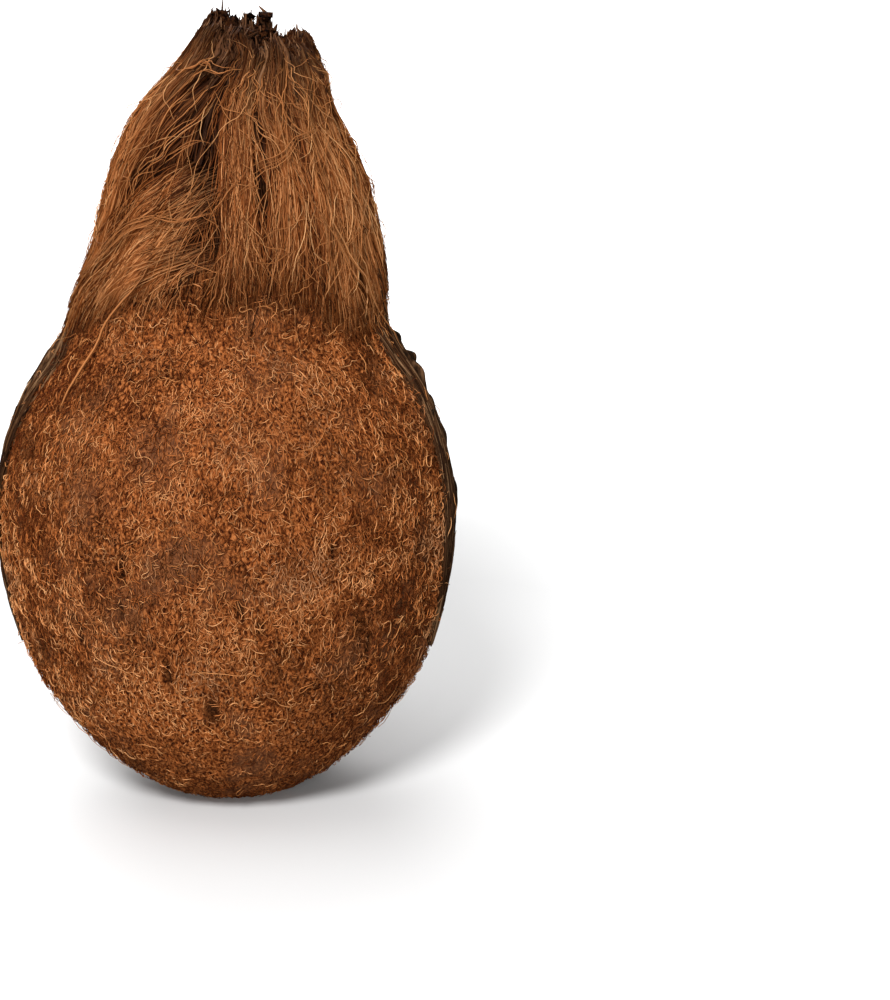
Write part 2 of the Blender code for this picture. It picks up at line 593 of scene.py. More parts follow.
    def hollow(self, azimuth: np.ndarray, height: np.ndarray) -> np.ndarray:
        """1 in the dark hollows under the crown, and 0 away from them."""
        share = 0.0
        for middle, level in self.HOLLOWS:
            across = turn_between(azimuth, middle) / self.HOLLOW_REACH[0]
            along = (np.asarray(height) - level) / self.HOLLOW_REACH[1]
            share = np.maximum(share, np.exp(-((across**2 + along**2) ** 1.5)))
        return share

    def dip(self, azimuth: np.ndarray, height: np.ndarray) -> np.ndarray:
        """How far the tuft is sunk at each place: in the hollows, and round the neck."""
        neck = np.exp(-(((np.asarray(height) - self.NECK) / (16 * MM)) ** 2))
        return self.HOLLOW_DEPTH * self.hollow(azimuth, height) + self.NECK_SINK * neck

    def place(self, azimuth: np.ndarray, height: np.ndarray, lift: np.ndarray | float = 0.0) -> np.ndarray:
        """Points on the surface or above it.

        Args:
            azimuth: The azimuth of each point, in degrees.
            height: The height of each point above the foot.
            lift: How far each point stands off the surface.

        Returns:
            The points, with x, y and z along the last axis.
        """
        azimuth, height, lift = np.broadcast_arrays(azimuth, height, lift)
        reach = self.radius(azimuth, height)
        turn = np.radians(azimuth)
        x = np.interp(height, self.heights, self.axis[:, 0]) + reach * np.cos(turn)
        y = np.interp(height, self.heights, self.axis[:, 1]) + reach * np.sin(turn)
        points = np.stack((x, y, height), axis=-1)
        return points + self.outward(azimuth, height) * lift[..., None]

    def hem(self, azimuth: np.ndarray) -> np.ndarray:
        """Height of the tuft's ragged lower edge, which hangs lowest over the seams."""
        turn = np.radians(np.asarray(azimuth, float))
        between = np.abs(np.sin(1.5 * (turn - math.pi / 2)))
        ragged = 0.5 * np.sin(5 * turn + 1.0) + 0.3 * np.sin(11 * turn + 2.0) + 0.2 * np.sin(23 * turn)
        return self.HEM + self.HEM_RISE * between + self.HEM_WANDER * 0.5 * ragged

    def azimuth_of(self, points: np.ndarray) -> np.ndarray:
        """The azimuth in degrees of each point round the axis."""
        x = points[..., 0] - np.interp(points[..., 2], self.heights, self.axis[:, 0])
        y = points[..., 1] - np.interp(points[..., 2], self.heights, self.axis[:, 1])
        return np.degrees(np.arctan2(y, x)) % 360.0


@dataclass
class Strands:
    """A batch of strands that all have the same number of points along them."""

    lines: np.ndarray
    outward: np.ndarray
    radii: np.ndarray
    tones: np.ndarray

    SIDES = 3

    def tubes(self) -> tuple[np.ndarray, np.ndarray, np.ndarray, np.ndarray, np.ndarray]:
        """Makes a closed three-sided tube round each line.

        Returns:
            The points, the side faces, the end faces, and the map places of the two kinds of face.
        """
        count, steps = self.lines.shape[:2]
        along = unit(np.gradient(self.lines, axis=1))
        side = unit(np.cross(along, self.outward))
        over = np.cross(side, along)
        turns = np.arange(self.SIDES) * math.tau / self.SIDES + math.pi / 2
        ring = side[:, :, None] * np.cos(turns)[:, None] + over[:, :, None] * np.sin(turns)[:, None]
        points = self.lines[:, :, None] + ring * self.radii[:, :, None, None]
        index = np.arange(count * steps * self.SIDES).reshape(count, steps, self.SIDES)
        after = np.roll(index, -1, axis=2)
        walls = np.stack((index[:, :-1], index[:, 1:], after[:, 1:], after[:, :-1]), axis=-1)
        caps = np.stack((index[:, 0], index[:, -1, ::-1]), axis=1)
        share = np.linspace(0.02, 0.98, steps)
        tone = np.clip(self.tones, 0.02, 0.98)
        place = np.stack(np.broadcast_arrays(rows(tone), share), axis=-1)
        wall_map = np.stack((place[:, :-1], place[:, 1:], place[:, 1:], place[:, :-1]), axis=-2)
        wall_map = np.repeat(wall_map[:, :, None], self.SIDES, axis=2)
        cap_map = np.repeat(place[:, [0, -1]][:, :, None], self.SIDES, axis=2)
        return (
            points.reshape(-1, 3),
            walls.reshape(-1, 4),
            caps.reshape(-1, self.SIDES),
            wall_map.reshape(-1, 2),
            cap_map.reshape(-1, 2),
        )

    def part(self, chosen: np.ndarray) -> "Strands":
        """The strands that are chosen, as a batch of their own."""
        return Strands(self.lines[chosen], self.outward[chosen], self.radii[chosen], self.tones[chosen])


def strand_piece(name: str, batches: list[Strands], finish: StrandFinish) -> bpy.types.Object:
    """Makes one piece of the look from batches of strands.

    Args:
        name: The piece's name.
        batches: The strands in it.
        finish: The strands' finish.

    Returns:
        The new object, which rides on the fruit.
    """
    points, faces, sizes, places, offset = [], [], [], [], 0
    for batch in batches:
        corners, walls, caps, wall_map, cap_map = batch.tubes()
        points.append(corners)
        faces += [(walls + offset).ravel(), (caps + offset).ravel()]
        sizes += [np.full(len(walls), 4), np.full(len(caps), Strands.SIDES)]
        places += [wall_map, cap_map]
        offset += len(corners)
    sizes = np.concatenate(sizes)
    corners = np.concatenate(faces)
    mesh = bpy.data.meshes.new(name)
    mesh.vertices.add(offset)
    mesh.vertices.foreach_set("co", np.concatenate(points).astype(np.float32).ravel())
    mesh.loops.add(len(corners))
    mesh.loops.foreach_set("vertex_index", corners.astype(np.int32))
    mesh.polygons.add(len(sizes))
    mesh.polygons.foreach_set("loop_start", (np.cumsum(sizes) - sizes).astype(np.int32))
    mesh.update(calc_edges=True)
    layer = mesh.uv_layers.new(name=STRAND_MAP)
    layer.uv.foreach_set("vector", np.concatenate(places).astype(np.float32).ravel())
    mesh.shade_smooth()
    piece = bpy.data.objects.new(name, mesh)
    bpy.context.scene.collection.objects.link(piece)
    return dressed(piece, finish)


def dressed(piece: bpy.types.Object, finish: StrandFinish | MattedFinish) -> bpy.types.Object:
    """Gives a piece its finish, lets it ride on the fruit, and reports it.

    Args:
        piece: The finished piece.
        finish: Its finish.

    Returns:
        The same piece.
    """
    piece.data.materials.clear()
    piece.data.materials.append(bpy.data.materials.get(finish.name) or finish.material())
    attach(piece, BODY)
    LOG.info("%s: %d faces", piece.name, len(piece.data.polygons))
    return piece


def tapered(count: int, steps: int, thickness: np.ndarray, root: float, tip: float) -> np.ndarray:
    """Radii of strands that are thickest a little way along and thin at both ends.

    Args:
        count: How many strands there are.
        steps: How many points each has.
        thickness: Each strand's greatest thickness.
        root: The radius at the root as a share of the greatest.
        tip: The radius at the tip as a share of the greatest.

    Returns:
        One radius for each point of each strand.
    """
    share = np.linspace(0, 1, steps)
    shape = np.interp(share, (0.0, 0.25, 0.7, 1.0), (root, 1.0, 0.9, tip))
    return rows(np.broadcast_to(thickness, count)) * 0.5 * shape


# ----------------------------------------------------------------------------------------------------
# The nut
# ----------------------------------------------------------------------------------------------------


@dataclass(frozen=True)
class Scar:
    """A dark upright pit in the nut's mat."""

    azimuth: float
    height: float
    length: float
    width: float

    def nearness(self, surface: HuskSurface, azimuth: np.ndarray, height: np.ndarray) -> np.ndarray:
        """How far each place is from the pit's middle, where 1 is the pit's edge."""
        across = turn_between(azimuth, self.azimuth) * np.radians(1)
        across = across * surface.radius(self.azimuth, self.height)
        return np.hypot(across / self.width, (height - self.height) / (self.length / 2))


SCARS = (
    Scar(246, 0.070, 0.0109, 0.0014),
    Scar(245, 0.059, 0.0080, 0.0012),
    Scar(231, 0.052, 0.0109, 0.0015),
    Scar(256, 0.043, 0.0130, 0.0015),
    Scar(276, 0.061, 0.0080, 0.0013),
    Scar(281, 0.056, 0.0058, 0.0011),
    Scar(268, 0.032, 0.0116, 0.0022),
    Scar(300, 0.074, 0.0065, 0.0011),
    Scar(312, 0.048, 0.0087, 0.0013),
    Scar(35, 0.066, 0.0116, 0.0014),
    Scar(62, 0.046, 0.0101, 0.0015),
    Scar(118, 0.058, 0.0123, 0.0015),
    Scar(150, 0.040, 0.0087, 0.0013),
)


@dataclass(frozen=True)
class Shade:
    """A broad lighter or darker patch of the nut's mat, its width in degrees; some are painted light and
    shade.
    """

    azimuth: float
    height: float
    width: float
    length: float
    tone: float


# At 208 is painted shade on the left side, at 318 a painted cast shadow low on the right, and at 262 painted
# light low on the front; the rest are the mat's own patches.
SHADES = (
    Shade(208, 0.092, 20, 0.042, -0.42),
    Shade(262, 0.042, 30, 0.018, 0.28),
    Shade(318, 0.034, 24, 0.024, -0.44),
    Shade(325, 0.092, 14, 0.026, -0.12),
    Shade(247, 0.073, 9, 0.009, -0.14),
    Shade(122, 0.060, 22, 0.026, -0.18),
    Shade(40, 0.085, 18, 0.020, 0.16),
)


@dataclass
class NutGround:
    """The dense ground of the fruit that the strands grow out of, from the foot to the torn crown."""

    segments: int = 400
    rings: int = 240
    inset: float = 0.35 * MM
    tuft_inset: float = 1.9 * MM
    coarse: float = 5.0 * MM
    coarse_depth: float = 1.2 * MM
    fine: float = 0.9 * MM
    fine_depth: float = 0.9 * MM
    scar_depth: float = 1.6 * MM
    scar_shade: float = 0.75
    # Painted shade under the tuft, as a painted shadow just below its hem, and in the hollows.
    tuft_shade: float = 0.72
    hem_shade: float = 0.35
    hollow_shade: float = 0.6
    foot_gain: float = 0.36
    foot_share: float = 0.10
    crown_share: float = 0.94
    crown_hollow: float = 2 * MM

    def build(self, surface: HuskSurface, solid: bpy.types.Object) -> bpy.types.Object:
        """Models the ground and dresses it.

        Args:
            surface: The fruit's surface.
            solid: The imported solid, which the ground stands for.

        Returns:
            The ground's object.
        """
        ground = self._wrapped(surface, solid)
        self._roughened(ground)
        self._sunk(ground, surface)
        ground.data.uv_layers[0].name = STRAND_MAP
        ground.data.shade_smooth()
        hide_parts(NODE)
        return dressed(ground, NUT_GROUND)

    def _wrapped(self, surface: HuskSurface, solid: bpy.types.Object) -> bpy.types.Object:
        """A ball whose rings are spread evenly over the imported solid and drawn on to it."""
        bpy.ops.object.select_all(action="DESELECT")
        bpy.ops.mesh.primitive_uv_sphere_add(segments=self.segments, ring_count=self.rings, radius=1.0)
        ground = bpy.context.object
        ground.name = ground.data.name = "nut_ground"
        mesh = ground.data
        ball = points_of(mesh)
        azimuth = np.degrees(np.arctan2(ball[:, 1], ball[:, 0])) % 360.0
        share = 1 - np.arccos(np.clip(ball[:, 2], -1, 1)) / math.pi
        foot, crown = self.foot_share, self.crown_share
        profile = surface.radii.mean(1)
        arc = np.append(0.0, np.cumsum(np.hypot(np.diff(profile), np.diff(surface.heights))))
        side = np.clip((share - foot) / (crown - foot), 0, 1)
        height = np.interp(side, arc / arc[-1], surface.heights)
        low, high = surface.heights[[0, -1]]
        height = low + (height - low) * (surface.rim(azimuth) - low) / (high - low)
        points = surface.place(azimuth, height)
        inward = np.minimum(share / foot, 1) * np.minimum((1 - share) / (1 - crown), 1)
        middle = [np.interp(height, surface.heights, surface.axis[:, way]) for way in (0, 1)]
        middle = np.stack(middle, axis=-1)
        points[:, :2] = middle + (points[:, :2] - middle) * rows(inward)
        points[:, 2] -= (1 - np.minimum((1 - share) / (1 - crown), 1)) * self.crown_hollow
        mesh.vertices.foreach_set("co", points.ravel())
        mesh.update()
        wrap = ground.modifiers.new("wrap", "SHRINKWRAP")
        wrap.target = solid
        wrap.wrap_method = "NEAREST_SURFACEPOINT"
        bpy.ops.object.modifier_apply(modifier=wrap.name)
        return ground

    def _roughened(self, ground: bpy.types.Object) -> None:
        """Gives the ground its lumps and its grain."""
        bpy.context.view_layer.objects.active = ground
        reliefs = (("lumps", self.coarse, self.coarse_depth), ("grain", self.fine, self.fine_depth))
        for label, size, depth in reliefs:
            pattern = bpy.data.textures.new(label, "CLOUDS")
            pattern.noise_scale = size
            pattern.noise_depth = 2
            relief = ground.modifiers.new(label, "DISPLACE")
            relief.texture = pattern
            relief.texture_coords = "LOCAL"
            relief.strength = depth
            relief.mid_level = 0.62
            bpy.ops.object.modifier_apply(modifier=relief.name)

    def _sunk(self, ground: bpy.types.Object, surface: HuskSurface) -> None:
        """Sinks the ground under its strands, digs and darkens the scars, and paints shade under the tuft
        and in the hollows.
        """
        mesh = ground.data
        points = points_of(mesh)
        azimuth, height = surface.azimuth_of(points), points[:, 2]
        outward = surface.outward(azimuth, height)
        hem = surface.hem(azimuth)
        under_tuft = eased((height - hem) / MM, 2.0, 12.0)
        sink = self.inset + (self.tuft_inset - self.inset) * under_tuft + surface.dip(azimuth, height)
        # Painted shade under the tuft, in a painted shadow just below its hem and in the hollows; lighter
        # towards the foot.
        shade = 1.0 - self.tuft_shade * under_tuft
        painted_hem_shadow = 1 - self.hem_shade * (1 - eased((hem - height) / MM, 0.0, 7.0))
        shade *= painted_hem_shadow * (1 - self.hollow_shade * surface.hollow(azimuth, height))
        shade *= 1.0 + self.foot_gain * (1 - eased(height / MM, 20.0, 55.0))
        for scar in SCARS:
            pit = 1 - eased(scar.nearness(surface, azimuth, height), 0.35, 1.1)
            sink = sink + pit * self.scar_depth
            shade = shade * (1 - self.scar_shade * pit)
        standing = eased(height / MM, 0.6, 5.0)
        points -= outward * rows(sink * standing)
        points[:, 2] = np.maximum(points[:, 2], 0.0)
        mesh.vertices.foreach_set("co", points.ravel())
        shade_points(mesh, shade)
        mesh.update()


@dataclass
class FibreMat:
    """The short curved fibres that felt the nut's surface together, most of them lying up and down it."""

    fibres: int = 58500
    steps: int = 4
    shortest: float = 1.2 * MM
    longest: float = 6.0 * MM
    thickness: float = 0.21 * MM
    upright_share: float = 0.6
    upright_spread: float = math.radians(28)
    bend: float = 0.40
    sink: float = 0.30 * MM
    rise: float = 0.36 * MM
    clump: float = 2.4 * MM
    clump_rise: float = 0.40 * MM
    umber_level: float = 0.20
    left: float = 208.0
    left_width: float = 20.0
    curve_up: float = 75 * MM
    curve_round: float = 56 * MM
    # Tone by height, darker towards the foot and just below the tuft: partly painted shade.
    tone_heights: tuple[float, ...] = (6 * MM, 30 * MM, 75 * MM, 115 * MM)
    tone_levels: tuple[float, ...] = (0.16, 0.53, 0.53, 0.42)
    sectors: int = 7

    def build(self, surface: HuskSurface, rng: np.random.Generator) -> list[bpy.types.Object]:
        """Lays the fibres and splits them into pieces by colour and by sector.

        Args:
            surface: The fruit's surface.
            rng: The source of chance.

        Returns:
            The mat's pieces.
        """
        roots, outward = self._scattered(surface, rng)
        strands = self._fibres(surface, roots, outward, rng)
        umber = patches(roots, 14 * MM, 5.0) + rng.normal(0, 0.09, len(roots)) > self.umber_level
        sector = (surface.azimuth_of(roots) / 360.0 * self.sectors).astype(int) % self.sectors
        pieces = []
        for number in range(self.sectors):
            batch = strands.part((sector == number) & ~umber)
            pieces.append(strand_piece(f"nut_mat_russet_{number + 1}", [batch], RUSSET_FIBRE))
        for number in range(2):
            batch = strands.part((sector % 2 == number) & umber)
            pieces.append(strand_piece(f"nut_mat_umber_{number + 1}", [batch], UMBER_FIBRE))
        return pieces

    def _scattered(self, surface: HuskSurface, rng: np.random.Generator) -> tuple[np.ndarray, np.ndarray]:
        """Scatters roots evenly over the nut, from the foot's edge to just above the tuft's hem."""
        first, second, third = surface.corners[:, 0], surface.corners[:, 1], surface.corners[:, 2]
        facing = np.cross(second - first, third - first)
        middle = surface.corners.mean(1)
        hem = surface.hem(surface.azimuth_of(middle))
        open_face = (middle[:, 2] > 0.4 * MM) & (middle[:, 2] < hem + 7 * MM)
        area = np.linalg.norm(facing, axis=1) * open_face
        chosen = rng.choice(len(area), self.fibres, p=area / area.sum())
        across, along = rng.random(self.fibres), rng.random(self.fibres)
        folded = across + along > 1
        across[folded], along[folded] = 1 - across[folded], 1 - along[folded]
        roots = first[chosen] + rows(across) * (second - first)[chosen]
        roots = roots + rows(along) * (third - first)[chosen]
        azimuth = surface.azimuth_of(roots)
        keep = roots[:, 2] < surface.hem(azimuth) + rng.normal(0.6 * MM, 1.6 * MM, self.fibres)
        keep &= rng.random(self.fibres) < np.interp(roots[:, 2], (0.0, 22 * MM, 52 * MM), (0.30, 0.45, 1.0))
        for course in COURSES:
            side = turn_between(azimuth, course.azimuth) * np.radians(1)
            side = side * surface.radius(azimuth, roots[:, 2])
            spare = course.width * rng.normal(0.40, 0.05, self.fibres)
            bare = (np.abs(side) < spare) & (roots[:, 2] > course.bottom + 12 * MM)
            keep &= ~bare | (rng.random(self.fibres) < 0.06)
        for scar in SCARS:
            keep &= scar.nearness(surface, azimuth, roots[:, 2]) > 1.0
        return roots[keep], unit(facing)[chosen][keep]

    def _fibres(
        self, surface: HuskSurface, roots: np.ndarray, outward: np.ndarray, rng: np.random.Generator
    ) -> Strands:
        """Curves one fibre over the surface from each root."""
        count = len(roots)
        east = unit(np.cross((0.0, 0.0, 1.0), outward))
        down = unit(np.cross(outward, east))
        down *= rows(-np.sign(down[:, 2]))
        on_left = turn_between(surface.azimuth_of(roots), self.left) / self.left_width
        on_left = np.exp(-(on_left**2))
        heading = np.where(
            rng.random(count) < self.upright_share + 0.3 * on_left,
            rng.normal(0, self.upright_spread, count),
            rng.uniform(-math.pi, math.pi, count),
        )
        clump = patches(roots, self.clump, 9.0)
        streak = self._streaks(surface, roots)
        length = self.shortest + (self.longest - self.shortest) * rng.beta(1.2, 3.4, count)
        length *= np.interp(roots[:, 2], (15 * MM, 55 * MM), (0.62, 1.0))
        share = np.linspace(0, 1, self.steps)
        turn = rng.normal(0, self.bend, count) * length / (1.6 * MM)
        angle = rows(heading) + rows(turn) * (share - 0.5) + rng.normal(0, 0.2, (count, self.steps))
        step = rows(length / (self.steps - 1))
        along = np.cumsum(np.cos(angle) * step, axis=1) - rows(length / 2)
        across = np.cumsum(np.sin(angle) * step, axis=1)
        height = rng.gamma(1.6, 0.5, count) * self.rise * np.interp(roots[:, 2], (0, 55 * MM), (0.25, 1.0))
        looped = rng.random(count) < 0.6
        arch = np.where(rows(looped), np.sin(math.pi * share), share**1.4)
        level = clump * self.clump_rise - 0.15 * MM - surface.dip(surface.azimuth_of(roots), roots[:, 2])
        lift = -self.sink + rows(height + self.sink) * arch + rows(level)
        fall = along**2 / (2 * self.curve_up) + across**2 / (2 * self.curve_round)
        lines = roots[:, None] + down[:, None] * along[..., None] + east[:, None] * across[..., None]
        lines = lines + outward[:, None] * (lift - fall)[..., None]
        lines[..., 2] = np.maximum(lines[..., 2], self.thickness)
        thickness = self.thickness * rng.uniform(0.55, 1.35, count)
        # Painted shade: fibre on low-lying clumps is darker, and a painted shadow darkens the mat just under
        # the tuft's hem; the broad patches are partly painted light and shade.
        broad = 0.50 * patches(roots, 7 * MM, 1.0) + 0.45 * patches(roots, 18 * MM, 8.0)
        shadow = np.exp(-np.maximum(surface.hem(surface.azimuth_of(roots)) - roots[:, 2], 0) / (4 * MM))
        level = np.interp(roots[:, 2], self.tone_heights, self.tone_levels)
        tones = level + rng.normal(0, 0.26, count) + 0.60 * np.minimum(clump, 0.15) + 0.55 * streak
        tones += broad - 0.42 * shadow + self._shade(surface.azimuth_of(roots), roots[:, 2])
        radii = tapered(count, self.steps, thickness, 0.7, 0.45)
        return Strands(lines, np.repeat(outward[:, None], self.steps, axis=1), radii, tones)

    def _shade(self, azimuth: np.ndarray, height: np.ndarray) -> np.ndarray:
        """How much lighter or darker the broad patches, some of them painted light and shade, make the fibre
        at each root.
        """
        tone = np.zeros(len(azimuth))
        for shade in SHADES:
            round_by = turn_between(azimuth, shade.azimuth) / shade.width
            up_by = (height - shade.height) / shade.length
            tone += shade.tone * np.exp(-(round_by**2 + up_by**2))
        return tone

    def _streaks(self, surface: HuskSurface, roots: np.ndarray) -> np.ndarray:
        """Upright streaks of lighter and darker fibre, from about -0.5 to 0.5 at each root."""
        turn = np.radians(surface.azimuth_of(roots))
        reach = 36.0
        drawn = np.stack((np.cos(turn) * reach, np.sin(turn) * reach, roots[:, 2] / (11 * MM)), axis=-1)
        return patches(drawn, 1.0, 4.0)


@dataclass
class CurlyHairs:
    """The longer, paler hairs that curl over the nut's mat."""

    hairs: int = 1100
    steps: int = 14
    shortest: float = 3 * MM
    longest: float = 13 * MM
    thickness: float = 0.22 * MM

    def build(self, surface: HuskSurface, rng: np.random.Generator) -> bpy.types.Object:
        """Lays the hairs.

        Args:
            surface: The fruit's surface.
            rng: The source of chance.

        Returns:
            The hairs' object.
        """
        count = self.hairs
        azimuth = rng.uniform(0, 360, count)
        height = 8 * MM + (surface.hem(azimuth) - 10 * MM) * rng.beta(1.3, 1.15, count)
        length = self.shortest + (self.longest - self.shortest) * rng.beta(1.1, 3.0, count)
        strands = wandering(surface, azimuth, height, length, self.steps, rng, bend=1.6, kink=0.9)
        arch = np.sin(math.pi * np.linspace(0, 1, self.steps))
        lift = 0.1 * MM + rows(rng.gamma(2.0, 0.22, count) * MM) * arch
        lines = surface.place(*strands, lift)
        radii = tapered(count, self.steps, self.thickness * rng.uniform(0.6, 1.15, count), 0.6, 0.35)
        tones = rng.beta(2.0, 2.4, count)
        batch = Strands(lines, surface.outward(*strands), radii, tones)
        return strand_piece("nut_curly_hairs", [batch], NUT_HAIR)


def wandering(
    surface: HuskSurface,
    azimuth: np.ndarray,
    height: np.ndarray,
    length: np.ndarray,
    steps: int,
    rng: np.random.Generator,
    bend: float,
    kink: float,
) -> tuple[np.ndarray, np.ndarray]:
    """Lets strands wander over the surface, each with its own bend.

    Args:
        surface: The fruit's surface.
        azimuth: Where each strand starts.
        height: Where each strand starts.
        length: How long each strand is.
        steps: How many points each has.
        rng: The source of chance.
        bend: How far a strand turns from end to end, in radians, as a spread.
        kink: How far it turns to and fro along the way, in radians, as a spread.

    Returns:
        The azimuth and the height of every point.
    """
    count = len(length)
    share = np.linspace(0, 1, steps)
    angle = rows(rng.uniform(0, math.tau, count)) + rows(rng.normal(0, bend, count)) * share
    for waves, size in ((1.2, 1.0), (2.6, 0.6)):
        turn = waves_along(share, waves, rng.uniform(0, math.tau, count))
        angle = angle + turn * rows(rng.normal(0, kink * size, count))
    step = rows(length / (steps - 1))
    across, up = np.cumsum(np.cos(angle) * step, axis=1), np.cumsum(np.sin(angle) * step, axis=1)
    reach = surface.radius(azimuth, height)
    return rows(azimuth) + np.degrees(across / rows(reach)), np.maximum(rows(height) + up, 4 * MM)


# ----------------------------------------------------------------------------------------------------
# The tuft
# ----------------------------------------------------------------------------------------------------


@dataclass(frozen=True)
class Parting:
    """A place where the tuft's strands are pushed apart and the dark under them shows."""

    azimuth: float
    height: float
    half_length: float
    push: float


PARTINGS = (
    Parting(243, 0.180, 0.010, 3.6 * MM),
    Parting(252, 0.168, 0.009, 2.4 * MM),
    Parting(286, 0.170, 0.009, 1.3 * MM),
    Parting(284, 0.158, 0.012, 1.6 * MM),
    Parting(230, 0.160, 0.008, 1.8 * MM),
    Parting(238, 0.148, 0.009, 1.6 * MM),
    Parting(263, 0.147, 0.008, 1.3 * MM),
    Parting(333, 0.132, 0.010, 3.0 * MM),
    Parting(217, 0.138, 0.008, 1.4 * MM),
    Parting(20, 0.165, 0.012, 2.4 * MM),
    Parting(60, 0.150, 0.013, 2.2 * MM),
    Parting(105, 0.168, 0.012, 2.6 * MM),
    Parting(140, 0.145, 0.013, 2.0 * MM),
    Parting(172, 0.160, 0.010, 1.8 * MM),
)


@dataclass(frozen=True)
class TuftLayer:
    """One layer of the tuft's strands."""

    name: str
    finish: StrandFinish
    strands: int
    locks: int
    low: float
    high: float
    gather: float
    sway: float
    thickness: float
    tone: float
    parts: bool = True
    fray: float = 0.22 * MM


LAYERS = (
    # The under layer wears the near-black painted shade.
    TuftLayer(
        "tuft_under",
        TUFT_DEEP_SHADE,
        strands=1350,
        locks=60,
        low=-1.8 * MM,
        high=-1.0 * MM,
        gather=0.9,
        sway=0.5 * MM,
        thickness=0.46 * MM,
        tone=0.40,
        parts=False,
    ),
    TuftLayer(
        "tuft_middle",
        TUFT_FIBRE,
        strands=2300,
        locks=60,
        low=-1.4 * MM,
        high=-0.4 * MM,
        gather=0.60,
        sway=0.5 * MM,
        thickness=0.34 * MM,
        tone=0.17,
    ),
    TuftLayer(
        "tuft_outer",
        TUFT_FIBRE,
        strands=2300,
        locks=46,
        low=-0.8 * MM,
        high=0.5 * MM,
        gather=0.45,
        sway=0.6 * MM,
        thickness=0.26 * MM,
        tone=0.39,
    ),
)


